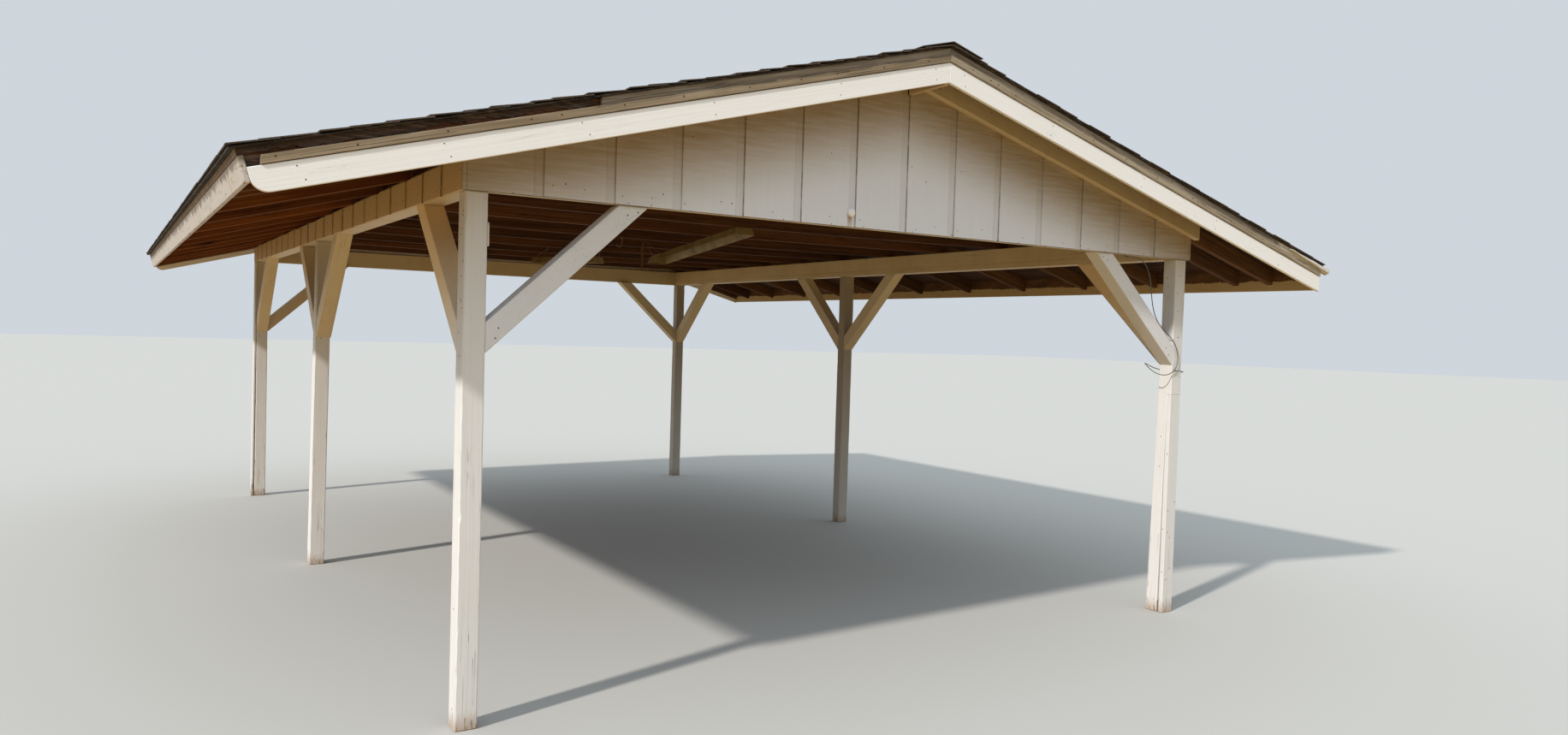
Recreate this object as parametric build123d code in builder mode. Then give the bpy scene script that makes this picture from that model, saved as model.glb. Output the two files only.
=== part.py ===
from build123d import *
from math import atan2, cos, hypot, radians, sin, tan
import os

# Carport: an open timber frame on six posts under a low gabled roof.
# X runs across the front gable, Y from the front to the back, Z up from the floor.
# All sizes are in millimetres.

# Plan and height of the frame
frame_width = 4267
front_bay = 3347
back_bay = 3183
header_height = 2103

# Posts and the boards nailed to two of them
post_side = 89
middle_lean = 20
split_post_kick = 31
front_board_thick = 28
front_board_height = 1300
front_board_gap = 12
side_board_thick = 16
side_board_gap = 8

# Plates, rails and headers that the posts carry
plate_thick = 38
rail_height = 102
header_thick = 38

# Knee braces
brace_run = 680
brace_drop = 625
brace_width = 89

# Ceiling joists, each with a rafter nailed against its back
joist_thick = 38
joist_depth = 89
first_joist = 205
joist_pitch = 645
joist_sag = 16

# Roof framing
roof_pitch = 15.3
rafter_thick = 38
rafter_depth = 89
birdsmouth_heel = 10
ridge_thick = 19
ridge_depth = 140

# Overhangs, from the outside of the posts to the outside of the boards
left_overhang = 790
right_overhang = 876
gable_overhang = 302
frieze_reach = 45

# Siding sheets with shallow grooves
siding_thick = 16
groove_count = 14
groove_width = 38
groove_depth = 6
slot_clearance = 0.3

# Edge boards
rake_thick = 19
rake_width = 89
rake_drop = 41
rake_corner = 55
left_fascia_thick = 19
right_fascia_thick = 19
right_fascia_width = 140
right_fascia_raise = 8
strip_gap = 16
strip_height = 16
strip_depth = 35
trim_thick = 19
trim_setback = 45
trim_stickout = 75
broken_trim_reach = 1711

# Decking and shingles
deck_thick = 25
roofing_thick = 20
eave_drip = 25
gable_drip = 23
cap_thick = 5
cap_width = 150

# Ceiling lights: open trough reflectors under the joists, given by their middles
# across from the ridge line and along from the front of the frame
light_width = 142
light_top_width = 108
light_height = 44
light_sheet = 2
long_light_length = 1219
long_light_across = -38
long_light_along = 2098
long_light_drop = 125
short_light_length = 610
short_light_across = -232
short_light_along = 3908
short_light_top = 100
short_light_turn = 29.4
wire_radius = 2
wire_inset = 25
long_wire_lean = 60
short_wire_lean = 90
seat_clearance = 0.3

# Strip of wood nailed to the front of a joist, near the long light
nailed_strip_along = 3430
nailed_strip_across = 186
nailed_strip_width = 20
nailed_strip_thick = 10
nailed_strip_above = 35
nailed_strip_below = 150

# Cable looped round the front right post, given by points measured across from the
# post's inner face, along from its front face, and up from the foot of the braces;
# the first lies inside the header, where the cable is cut off
cable_diameter = 5
cable_straight_share = 0.45
cable_route = [
    (-446, 25, 634),
    (-407, 27, 615),
    (-368, 29, 613),
    (-312, 33, 615),
    (-256, 37, 606),
    (-206, 43, 573),
    (-174, 47, 525),
    (-154, 51, 470),
    (-141, 54, 414),
    (-131, 54, 358),
    (-116, 50, 303),
    (-94, 41, 253),
    (-66, 24, 212),
    (-36, 3, 177),
    (-6, -10, 141),
    (20, -11, 102),
    (37, -10, 57),
    (38, -10, 12),
    (18, -10, -26),
    (-20, -8, -50),
    (-64, 2, -61),
    (-106, 22, -52),
    (-133, 50, -26),
    (-130, 86, 2),
    (-102, 116, 9),
    (-58, 124, -4),
    (-10, 121, -20),
    (42, 119, -31),
    (88, 113, -37),
    (111, 82, -40),
    (114, 42, -41),
    (107, 1, -40),
    (75, -19, -37),
    (52, -22, -35),
    (34, -20, -33),
    (24, -10, -32),
    (24, 0, -32),
]

# Roof geometry, with d the distance from the ridge line and n the distance
# square to the slope above the rafters' undersides
half_width = frame_width / 2
frame_depth = front_bay + back_bay + post_side
slope = tan(radians(roof_pitch))
fall_x = cos(radians(roof_pitch))
fall_z = sin(radians(roof_pitch))
beam_height = plate_thick + rail_height
beam_top = header_height + beam_height
left_reach = half_width + left_overhang
right_reach = half_width + right_overhang
deck_level = rafter_depth + deck_thick
roofing_level = deck_level + roofing_thick
rake_bottom = -rake_drop * fall_x
rake_top = rake_bottom + rake_width
strip_bottom = rake_top + strip_gap
strip_top = strip_bottom + strip_height

# The ridge stands where the roof, with its uneven overhangs, is centred on X = 0
left_extent = left_reach + roofing_level * fall_z + eave_drip * fall_x
right_extent = right_reach + max(trim_stickout, eave_drip)
ridge_x = (left_extent - right_extent) / 2
front_y = -frame_depth / 2
back_y = frame_depth / 2
rake_y = front_y - gable_overhang
rake_back_y = rake_y + rake_thick

LEFT = -1
RIGHT = 1


def underside(d):
    """Height of the rafters' undersides at distance d from the ridge."""
    return beam_top - birdsmouth_heel + (half_width - d) * slope


def plumb(d, n):
    """Point straight above distance d, at level n of the roof."""
    return (d, underside(d) + n / fall_x)


def square(d, n):
    """Point at level n on the line square to the slope at distance d."""
    return (d + n * fall_z, underside(d) + n * fall_x)


def cross_plane(y):
    """Plane across the frame at y, on which sketch X and Y are X and Z."""
    return Plane.XZ.offset(-y)


def side_plane(x):
    """Plane along the frame at x, on which sketch X and Y are Y and Z."""
    return Plane.YZ.offset(x)


def on_side(side, points):
    """Points given by distance from the ridge, placed on one side of it."""
    return [(ridge_x + side * d, z) for d, z in points]


def mirrored_y(y, thick):
    """Near face, at the back of the frame, of a piece that starts at y in front."""
    return -y - thick


def outline(points):
    """Face through the points as they stand, inside a sketch block."""
    Polygon(*points, align=None)


def save(piece, name):
    """Label a finished piece and write its file."""
    piece.part.label = name
    export_step(piece.part, f"parts/{name}.step")


os.makedirs("parts", exist_ok=True)


# Posts: square timbers, of which the middle left one leans out at its foot
left_post_x = ridge_x - half_width + post_side / 2
right_post_x = ridge_x + half_width - post_side / 2
front_post_y = front_y + post_side / 2
middle_post_y = front_y + front_bay + post_side / 2
back_post_y = back_y - post_side / 2

post_places = {
    "post_front_left": (left_post_x, front_post_y, 0),
    "post_middle_left": (left_post_x, middle_post_y, middle_lean),
    "post_middle_right": (right_post_x, middle_post_y, 0),
    "post_back_left": (left_post_x, back_post_y, 0),
    "post_back_right": (right_post_x, back_post_y, 0),
}
for name, (x, y, lean) in post_places.items():
    with BuildPart() as post:
        with BuildSketch(cross_plane(y - post_side / 2)):
            outline([
                (x - post_side / 2 - lean, 0),
                (x + post_side / 2 - lean, 0),
                (x + post_side / 2, header_height),
                (x - post_side / 2, header_height),
            ])
        extrude(amount=-post_side)
    save(post, name)

# Front right post: its lower front is cut back for a board, and its back kicks
# out towards the foot, where the board has sprung clear of it
with BuildPart() as split_post:
    with BuildSketch(side_plane(right_post_x - post_side / 2)):
        outline([
            (front_y, header_height),
            (front_y, front_board_height),
            (front_y + front_board_thick, front_board_height),
            (front_y + front_board_thick + front_board_gap, 0),
            (front_y + post_side + split_post_kick, 0),
            (front_y + post_side, header_height - brace_drop),
            (front_y + post_side, header_height),
        ])
    extrude(amount=post_side)
save(split_post, "post_front_right")

with BuildPart() as front_board:
    with BuildSketch(side_plane(right_post_x - post_side / 2)):
        with Locations((front_y, 0)):
            Rectangle(front_board_thick, front_board_height, align=(Align.MIN, Align.MIN))
    extrude(amount=post_side)
save(front_board, "post_board_front_right")

# Board down the outside of the back left post, open at its foot
side_board_x = left_post_x - post_side / 2
with BuildPart() as side_board:
    with BuildSketch(cross_plane(back_y - post_side)):
        outline([
            (side_board_x - side_board_gap, 0),
            (side_board_x - side_board_gap - side_board_thick, 0),
            (side_board_x - side_board_thick, header_height),
            (side_board_x, header_height),
        ])
    extrude(amount=-post_side)
save(side_board, "post_board_back_left")


# Plates laid flat on the posts, and the rails that stand on them
for name, x in (("left", left_post_x), ("right", right_post_x)):
    with BuildPart() as plate:
        with BuildSketch(Plane.XY.offset(header_height)):
            with Locations((x, 0)):
                Rectangle(post_side, frame_depth)
        extrude(amount=plate_thick)
    save(plate, f"plate_{name}")

    with BuildPart() as rail:
        with BuildSketch(Plane.XY.offset(header_height + plate_thick)):
            with Locations((x, 0)):
                Rectangle(post_side, frame_depth)
        extrude(amount=rail_height)
    save(rail, f"rail_{name}")

# Headers between the rails, flush with the posts' front and back faces
for name, y in (("front", front_y), ("back", mirrored_y(front_y, header_thick))):
    with BuildPart() as header:
        with BuildSketch(cross_plane(y)):
            with Locations((ridge_x, header_height + beam_height / 2)):
                Rectangle(frame_width - 2 * post_side, beam_height)
        extrude(amount=-header_thick)
    save(header, f"header_{name}")


# Knee braces: mitred at the post and under the beam
brace_length = hypot(brace_run, brace_drop)
brace_foot = brace_width * brace_length / brace_run
brace_head = brace_width * brace_length / brace_drop


def brace_outline(start, direction):
    """Side view of a brace that leaves a post face at start."""
    return [
        (start, header_height - brace_drop),
        (start + direction * brace_run, header_height),
        (start + direction * (brace_run - brace_head), header_height),
        (start, header_height - brace_drop + brace_foot),
    ]


inner_left = left_post_x + post_side / 2
inner_right = right_post_x - post_side / 2
middle_front = front_y + front_bay
middle_back = middle_front + post_side
back_front = back_y - post_side

# Each entry: across (post face, direction, y of the near side) or None, then
# along (post face, direction) for each brace under a side plate
brace_sets = {
    "braces_front_left": ((inner_left, 1, front_y), left_post_x, ((front_y + post_side, 1),)),
    "braces_front_right": ((inner_right, -1, front_y), right_post_x, ((front_y + post_side, 1),)),
    "braces_middle_left": (None, left_post_x, ((middle_front, -1), (middle_back, 1))),
    "braces_middle_right": (None, right_post_x, ((middle_front, -1), (middle_back, 1))),
    "braces_back_left": ((inner_left, 1, back_front), left_post_x, ((back_front, -1),)),
    "braces_back_right": ((inner_right, -1, back_front), right_post_x, ((back_front, -1),)),
}
for name, (across, x, along) in brace_sets.items():
    with BuildPart() as braces:
        if across:
            start, direction, y = across
            with BuildSketch(cross_plane(y)):
                outline(brace_outline(start, direction))
            extrude(amount=-post_side)
        for start, direction in along:
            with BuildSketch(side_plane(x - post_side / 2)):
                outline(brace_outline(start, direction))
            extrude(amount=post_side)
    save(braces, name)


# Gable siding: a sheet cut to the roof slope, slotted for the ridge board, with
# grooves on its outer face
groove_pitch = frame_width / groove_count
sheet_half = half_width + siding_thick
ridge_top = plumb(ridge_thick / 2, rafter_depth)[1]
for name, outer, inner in (("front", front_y - siding_thick, front_y), ("back", back_y + siding_thick, back_y)):
    facing = 1 if outer > inner else -1
    with BuildPart() as siding:
        with BuildSketch(cross_plane(inner)):
            outline(
                on_side(LEFT, [(0, header_height), (sheet_half, header_height), plumb(sheet_half, rafter_depth)])
                + [(ridge_x, plumb(0, rafter_depth)[1])]
                + on_side(RIGHT, [plumb(sheet_half, rafter_depth), (sheet_half, header_height)])
            )
            with Locations((ridge_x, ridge_top - ridge_depth)):
                Rectangle(
                    ridge_thick + 2 * slot_clearance,
                    2 * ridge_depth,
                    align=(Align.CENTER, Align.MIN),
                    mode=Mode.SUBTRACT,
                )
        extrude(amount=-facing * siding_thick)
        with BuildSketch(cross_plane(outer)):
            for k in range(1, groove_count):
                with Locations((ridge_x - half_width + k * groove_pitch - groove_width / 2, header_height)):
                    Rectangle(groove_width, frame_width, align=(Align.CENTER, Align.MIN))
        extrude(amount=facing * groove_depth, mode=Mode.SUBTRACT)
    save(siding, f"gable_siding_{name}")

# Side friezes: the same sheet as a strip over the outer face of plate and rail
frieze_top = underside(sheet_half)
side_grooves = int(frame_depth / groove_pitch)
for name, side in (("left", LEFT), ("right", RIGHT)):
    with BuildPart() as frieze:
        with BuildSketch(side_plane(ridge_x + side * half_width)):
            with Locations((0, header_height)):
                Rectangle(frame_depth, frieze_top - header_height, align=(Align.CENTER, Align.MIN))
        extrude(amount=side * siding_thick)
        with BuildSketch(side_plane(ridge_x + side * sheet_half)):
            for k in range(1, side_grooves + 1):
                with Locations((front_y + k * groove_pitch - groove_width / 2, header_height)):
                    Rectangle(groove_width, beam_height, align=(Align.CENTER, Align.MIN))
        extrude(amount=-side * groove_depth, mode=Mode.SUBTRACT)
    save(frieze, f"side_frieze_{name}")


# Ceiling joists on the rails: they sag over the clear span, and their upper
# corners are cut to the roof slope
joist_room = frame_depth - first_joist - 2 * joist_thick - rafter_thick
joist_ys = [front_y + first_joist + k * joist_pitch for k in range(int(joist_room / joist_pitch) + 1)]
joist_top = beam_top + joist_depth
clip_half = half_width - (joist_top - plumb(half_width, rafter_depth)[1]) / slope
span_half = half_width - post_side


def nearest_joist(y):
    """Front face of the joist whose middle is nearest to y."""
    return min(joist_ys, key=lambda joist_y: abs(joist_y + joist_thick / 2 - y))


def joist_underside(across):
    """Height of the sagging joists' undersides at distance across from the ridge."""
    return beam_top - joist_sag * (1 - (across / span_half) ** 2)


with BuildPart() as joists:
    for y in joist_ys:
        with BuildSketch(cross_plane(y)):
            with BuildLine():
                Polyline(
                    (ridge_x - span_half, beam_top),
                    (ridge_x - half_width, beam_top),
                    *on_side(LEFT, [plumb(half_width, rafter_depth), (clip_half, joist_top)]),
                )
                ThreePointArc(
                    (ridge_x - clip_half, joist_top),
                    (ridge_x, joist_top - joist_sag),
                    (ridge_x + clip_half, joist_top),
                )
                Polyline(
                    *on_side(RIGHT, [(clip_half, joist_top), plumb(half_width, rafter_depth)]),
                    (ridge_x + half_width, beam_top),
                    (ridge_x + span_half, beam_top),
                )
                ThreePointArc(
                    (ridge_x + span_half, beam_top),
                    (ridge_x, joist_underside(0)),
                    (ridge_x - span_half, beam_top),
                )
            make_face()
        extrude(amount=-joist_thick)
save(joists, "ceiling_joists")

with BuildPart() as nailed_strip:
    strip_middle = joist_underside(nailed_strip_across) + (nailed_strip_above - nailed_strip_below) / 2
    with BuildSketch(cross_plane(nearest_joist(front_y + nailed_strip_along))):
        with Locations((ridge_x + nailed_strip_across, strip_middle)):
            Rectangle(nailed_strip_width, nailed_strip_above + nailed_strip_below)
    extrude(amount=nailed_strip_thick)
save(nailed_strip, "joist_strip")


# Rafters: bird's-mouth over the beam, plumb cut at the ridge, square tails on the
# left and plumb tails on the right
seat_run = birdsmouth_heel / slope
left_tail = left_reach - left_fascia_thick * fall_x
right_tail = right_reach - right_fascia_thick
tails = {
    LEFT: [(left_tail, underside(left_tail)), square(left_tail, rafter_depth)],
    RIGHT: [(right_tail, underside(right_tail)), plumb(right_tail, rafter_depth)],
}
rafter_head = [plumb(ridge_thick / 2, rafter_depth), plumb(ridge_thick / 2, 0)]
birdsmouth = [
    (half_width - seat_run, beam_top),
    (half_width, beam_top),
    (half_width, beam_top - birdsmouth_heel),
]
bearing_ys = [front_y] + [y + joist_thick for y in joist_ys] + [mirrored_y(front_y, rafter_thick)]
fly_ys = [rake_back_y, mirrored_y(rake_back_y, rafter_thick)]
for name, side in (("left", LEFT), ("right", RIGHT)):
    with BuildPart() as rafters:
        for y in bearing_ys:
            with BuildSketch(cross_plane(y)):
                outline(on_side(side, rafter_head + birdsmouth + tails[side]))
            extrude(amount=-rafter_thick)
        for y in fly_ys:
            with BuildSketch(cross_plane(y)):
                outline(on_side(side, rafter_head + tails[side]))
            extrude(amount=-rafter_thick)
    save(rafters, f"rafters_{name}")

    # Frieze rafter outside the gable siding, cut off plumb just past its corner
    frieze_end = half_width + frieze_reach
    frieze_y = front_y - siding_thick - rafter_thick
    with BuildPart() as gable_frieze:
        for y in (frieze_y, mirrored_y(frieze_y, rafter_thick)):
            with BuildSketch(cross_plane(y)):
                outline(on_side(side, rafter_head + [plumb(frieze_end, 0), plumb(frieze_end, rafter_depth)]))
            extrude(amount=-rafter_thick)
    save(gable_frieze, f"gable_frieze_{name}")

# Ridge board between the rafter heads, out to the backs of the rake boards
with BuildPart() as ridge:
    with BuildSketch(cross_plane(rake_back_y)):
        with Locations((ridge_x, ridge_top)):
            Rectangle(ridge_thick, ridge_depth, align=(Align.CENTER, Align.MAX))
    extrude(amount=2 * rake_back_y)
save(ridge, "ridge_board")


# Rake boards: plumb mitre at the ridge; the left ends stop at the fascia with a
# rounded lower corner, the right ends are cut plumb past the fascia
rake_ys = (rake_y, mirrored_y(rake_y, rake_thick))
with BuildPart() as rake_left:
    for y in rake_ys:
        with BuildSketch(cross_plane(y)) as board:
            outline(on_side(LEFT, [
                plumb(0, rake_bottom),
                square(left_tail, rake_bottom),
                square(left_tail, rake_top),
                plumb(0, rake_top),
            ]))
            fillet(board.vertices().sort_by(Axis.Y)[0], rake_corner)
        extrude(amount=-rake_thick)
save(rake_left, "rake_board_left")

with BuildPart() as rake_right:
    for y in rake_ys:
        with BuildSketch(cross_plane(y)):
            outline(on_side(RIGHT, [
                plumb(0, rake_bottom),
                plumb(right_reach, rake_bottom),
                plumb(right_reach, rake_top),
                plumb(0, rake_top),
            ]))
        extrude(amount=-rake_thick)
save(rake_right, "rake_board_right")

# Above each rake board a thin strip stands proud, and a weathered trim board
# closes the edge of the decking; its lower part has broken off in front on the left
edge_ends = {LEFT: left_reach - trim_setback, RIGHT: right_reach}
for name, side in (("left", LEFT), ("right", RIGHT)):
    strip_y = rake_back_y - strip_depth
    with BuildPart() as strip:
        for y in (strip_y, mirrored_y(strip_y, strip_depth)):
            with BuildSketch(cross_plane(y)):
                outline(on_side(side, [
                    plumb(0, strip_bottom),
                    plumb(edge_ends[side], strip_bottom),
                    plumb(edge_ends[side], strip_top),
                    plumb(0, strip_top),
                ]))
            extrude(amount=-strip_depth)
    save(strip, f"rake_strip_{name}")

    back_trim_end = edge_ends[side] + (trim_stickout if side == RIGHT else 0)
    front_trim_end = broken_trim_reach if side == LEFT else back_trim_end
    trim_y = rake_back_y - trim_thick
    with BuildPart() as trim:
        for y, trim_end in ((trim_y, front_trim_end), (mirrored_y(trim_y, trim_thick), back_trim_end)):
            with BuildSketch(cross_plane(y)):
                outline(on_side(side, [
                    plumb(0, strip_top),
                    plumb(trim_end, strip_top),
                    plumb(trim_end, deck_level),
                    plumb(0, deck_level),
                ]))
            extrude(amount=-trim_thick)
    save(trim, f"rake_trim_{name}")


# Fascias: the left one square to the slope and through to the gable faces, the
# right one plumb and deeper, behind the rake boards' ends
with BuildPart() as fascia_left:
    with BuildSketch(cross_plane(rake_y)):
        outline(on_side(LEFT, [
            square(left_tail, 0),
            square(left_reach, 0),
            square(left_reach, rafter_depth),
            square(left_tail, rafter_depth),
        ]))
    extrude(amount=2 * rake_y)
save(fascia_left, "fascia_left")

right_fascia_bottom = plumb(right_reach, rake_bottom)[1] + right_fascia_raise
with BuildPart() as fascia_right:
    with BuildSketch(cross_plane(rake_back_y)):
        with Locations((ridge_x + right_tail, right_fascia_bottom)):
            Rectangle(right_fascia_thick, right_fascia_width, align=(Align.MIN, Align.MIN))
    extrude(amount=2 * rake_back_y)
save(fascia_right, "fascia_right")


# Roof decking and the shingle layer on it, in one slab a side
slab_ends = {
    ("deck", LEFT): [square(left_reach, rafter_depth), square(left_reach, deck_level)],
    ("deck", RIGHT): [plumb(right_tail, rafter_depth), plumb(right_tail, deck_level)],
    ("roofing", LEFT): [
        square(left_reach + eave_drip * fall_x, deck_level),
        square(left_reach + eave_drip * fall_x, roofing_level),
    ],
    ("roofing", RIGHT): [
        plumb(right_reach + eave_drip, deck_level),
        plumb(right_reach + eave_drip, roofing_level),
    ],
}
slabs = (("deck", rafter_depth, deck_level, rake_back_y), ("roofing", deck_level, roofing_level, rake_y - gable_drip))
for kind, low, high, y in slabs:
    for name, side in (("left", LEFT), ("right", RIGHT)):
        with BuildPart() as slab:
            with BuildSketch(cross_plane(y)):
                outline(on_side(side, [plumb(0, low)] + slab_ends[kind, side] + [plumb(0, high)]))
            extrude(amount=2 * y)
        save(slab, f"{kind}_{name}")

# Cap folded over the ridge
cap_level = roofing_level + cap_thick
cap_y = rake_y - gable_drip
with BuildPart() as cap:
    with BuildSketch(cross_plane(cap_y)):
        outline(
            on_side(LEFT, [plumb(0, roofing_level), square(cap_width, roofing_level), square(cap_width, cap_level)])
            + [(ridge_x, plumb(0, cap_level)[1])]
            + on_side(RIGHT, [square(cap_width, cap_level), square(cap_width, roofing_level)])
        )
    extrude(amount=2 * cap_y)
save(cap, "ridge_cap")


# Ceiling lights: flared sheet troughs, open below; the long one is screwed up to
# a joist at its front end and hangs lower at its back
long_axis = Vector(0, (long_light_length**2 - long_light_drop**2) ** 0.5, -long_light_drop).normalized()
short_axis = Vector(-sin(radians(short_light_turn)), cos(radians(short_light_turn)), 0)
long_middle = Vector(
    ridge_x + long_light_across,
    front_y + long_light_along,
    joist_underside(long_light_across) - seat_clearance - long_light_drop / 2,
)
short_middle = Vector(ridge_x + short_light_across, front_y + short_light_along, beam_top - short_light_top)
lights = {
    "light_long": (long_middle, long_axis, long_light_length),
    "light_short": (short_middle, short_axis, short_light_length),
}
for name, (middle, axis, length) in lights.items():
    section = Plane(origin=middle, x_dir=axis.cross(Vector(0, 0, 1)), z_dir=-axis)
    with BuildPart() as light:
        with BuildSketch(section):
            outline([
                (-light_top_width / 2, 0),
                (light_top_width / 2, 0),
                (light_width / 2, -light_height),
                (-light_width / 2, -light_height),
            ])
        extrude(amount=length / 2, both=True)
        open_face = light.faces().sort_by(SortBy.AREA)[-1]
        offset(amount=-light_sheet, openings=open_face)
    save(light, name)

# Wire vees from the nearest joists down to the top edges of the lights
vees = (
    ("light_long", 1, -long_wire_lean),
    ("light_short", -1, short_wire_lean),
    ("light_short", 1, -short_wire_lean),
)
with BuildPart() as wires:
    for name, end, lean in vees:
        middle, axis, length = lights[name]
        sideways = axis.cross(Vector(0, 0, 1)).normalized()
        station = middle + axis * (end * (length / 2 - wire_inset))
        seat = Vector(0, 0, wire_radius + seat_clearance)
        across = middle.X - ridge_x + lean
        apex = Vector(ridge_x + across, nearest_joist(station.Y) + wire_radius, joist_underside(across)) - seat
        for side in (LEFT, RIGHT):
            foot = station + sideways * (side * light_top_width / 3) + seat
            with BuildSketch(Plane(origin=foot, z_dir=apex - foot)):
                Circle(wire_radius)
            extrude(amount=(apex - foot).length)
save(wires, "light_wires")

# Cable from the header down to the post, once round it under the braces, and into
# its front face; its arcs are as large as the runs beside them allow
cable_points = [
    Vector(inner_right + across, front_y + along, header_height - brace_drop + up)
    for across, along, up in cable_route
]
cable_radii = []
for before, corner, after in zip(cable_points, cable_points[1:], cable_points[2:]):
    arriving, leaving = corner - before, after - corner
    shorter = min(arriving.length, leaving.length)
    half_turn = radians(arriving.get_angle(leaving)) / 2
    cable_radii.append(cable_straight_share * shorter / tan(half_turn))
print("cable radii", [round(radius) for radius in cable_radii])

with BuildPart() as cable:
    with BuildLine():
        FilletPolyline(*cable_points, radius=cable_radii)
    with BuildSketch(Plane(origin=cable_points[0], z_dir=cable_points[1] - cable_points[0])):
        Circle(cable_diameter / 2)
    sweep()
    split(bisect_by=Plane.XY.offset(header_height), keep=Keep.BOTTOM)
save(cable, "post_cable")
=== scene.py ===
import random
from math import cos, radians, sin, tan

import bmesh
import bpy
import numpy as np
from mathutils import Matrix, Vector, noise


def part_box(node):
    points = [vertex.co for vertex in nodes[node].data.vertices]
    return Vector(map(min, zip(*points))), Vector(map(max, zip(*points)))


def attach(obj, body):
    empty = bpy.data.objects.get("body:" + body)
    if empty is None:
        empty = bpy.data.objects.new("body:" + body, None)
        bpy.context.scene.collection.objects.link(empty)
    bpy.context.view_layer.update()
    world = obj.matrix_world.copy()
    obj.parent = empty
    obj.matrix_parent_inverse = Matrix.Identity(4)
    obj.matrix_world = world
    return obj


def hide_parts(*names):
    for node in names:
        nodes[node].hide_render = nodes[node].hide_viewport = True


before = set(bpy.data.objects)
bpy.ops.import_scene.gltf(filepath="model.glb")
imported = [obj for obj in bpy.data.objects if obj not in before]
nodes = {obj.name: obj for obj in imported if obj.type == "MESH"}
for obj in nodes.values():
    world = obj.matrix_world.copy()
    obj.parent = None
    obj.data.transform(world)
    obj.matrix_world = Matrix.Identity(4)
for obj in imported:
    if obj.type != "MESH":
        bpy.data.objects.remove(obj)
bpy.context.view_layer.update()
scene = bpy.context.scene

LEFT, RIGHT = -1, 1
hand_of = {LEFT: "left", RIGHT: "right"}
upright = (0, 0, 1)

# Sizes, in metres
roof_pitch = radians(15.3)
rafter_depth = 0.089
rafter_thick = 0.038
birdsmouth_heel = 0.010
deck_thick = 0.025
roofing_thick = 0.020
joist_thick = 0.038
joist_count = 10
first_joist = 0.205
joist_pitch = 0.645
post_side = 0.089
brace_drop = 0.625
sheet_thick = 0.016
groove_width = 0.038
edge_board_thick = 0.019
left_overhang = 0.790
right_overhang = 0.876
gable_overhang = 0.302
gable_drip = 0.023
eave_drip = 0.025
broken_trim = 1.711
lath_proud = 0.006

slope_run = cos(roof_pitch)
slope_fall = sin(roof_pitch)
slope_ratio = tan(roof_pitch)

post_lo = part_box("post_front_left")[0]
far_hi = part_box("post_back_right")[1]
rake_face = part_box("rake_board_left")[0].y
frieze_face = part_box("gable_frieze_left")[0].y
right_post_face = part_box("post_front_right")[0].x

frame_left, frame_right = post_lo.x, far_hi.x
frame_front, frame_back = post_lo.y, far_hi.y
half_width = (frame_right - frame_left) / 2
ridge_x = (frame_left + frame_right) / 2
header_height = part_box("plate_left")[0].z
beam_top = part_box("rail_left")[1].z
brace_foot = header_height - brace_drop
reach = {LEFT: half_width + left_overhang, RIGHT: half_width + right_overhang}
apex = beam_top - birdsmouth_heel + half_width * slope_ratio
deck_level = rafter_depth + deck_thick
roofing_level = deck_level + roofing_thick
deck_front = frame_front - gable_overhang + edge_board_thick
roof_front = frame_front - gable_overhang - gable_drip
sheet_face = frame_front - sheet_thick
lath_face = rake_face - lath_proud
joist_ys = [frame_front + first_joist + k * joist_pitch for k in range(joist_count)]
rafter_ys = [y + joist_thick + rafter_thick / 2 for y in joist_ys]


def underside(aside):
    """Height of the rafters' undersides at a distance aside from the ridge line."""
    return apex - aside * slope_ratio


def roof_place(side):
    """Matrix of one roof slope: local X along the eave, Y down the slope, Z square to it."""
    across = Vector((0, -side, 0))
    down = Vector((side * slope_run, 0, -slope_fall))
    out = Vector((side * slope_fall, 0, slope_run))
    place = Matrix((across, down, out)).transposed().to_4x4()
    place.translation = Vector((ridge_x, 0, apex))
    return place


# Wiring of materials and of the surround
class Wiring:
    """Short ways to wire the nodes of one tree."""

    def __init__(self, tree):
        self.tree = tree

    def add(self, kind, inputs=(), output=0, **settings):
        node = self.tree.nodes.new("ShaderNode" + kind)
        for key, value in settings.items():
            setattr(node, key, value)
        for key, value in dict(inputs).items():
            self.feed(node.inputs[key], value)
        return node.outputs[output]

    def feed(self, socket, value):
        if isinstance(value, bpy.types.NodeSocket):
            self.tree.links.new(value, socket)
        elif isinstance(value, tuple) and len(value) == 3 and socket.type == "RGBA":
            socket.default_value = (*value, 1)
        else:
            socket.default_value = value

    def parts(self, vector):
        node = self.tree.nodes.new("ShaderNodeSeparateXYZ")
        self.tree.links.new(vector, node.inputs[0])
        return node.outputs

    def step(self, value, low, high, to_low=0.0, to_high=1.0):
        """Smooth step of value between low and high."""
        return self.add(
            "MapRange",
            {"Value": value, "From Min": low, "From Max": high, "To Min": to_low, "To Max": to_high},
            interpolation_type="SMOOTHSTEP",
        )

    def calc(self, operation, a, b=0.0, clamp=False):
        return self.add("Math", {0: a, 1: b}, operation=operation, use_clamp=clamp)

    def times(self, a, b):
        return self.calc("MULTIPLY", a, b)

    def plus(self, a, b, clamp=False):
        return self.calc("ADD", a, b, clamp)

    def minus(self, a, b, clamp=False):
        return self.calc("SUBTRACT", a, b, clamp)

    def absolute(self, a):
        return self.calc("ABSOLUTE", a)

    def rays(self, *kinds):
        """One for the kinds of ray named, and nought for the others."""
        path = self.tree.nodes.new("ShaderNodeLightPath").outputs
        either = path[kinds[0]]
        for kind in kinds[1:]:
            either = self.calc("MAXIMUM", either, path[kind])
        return either


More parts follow.
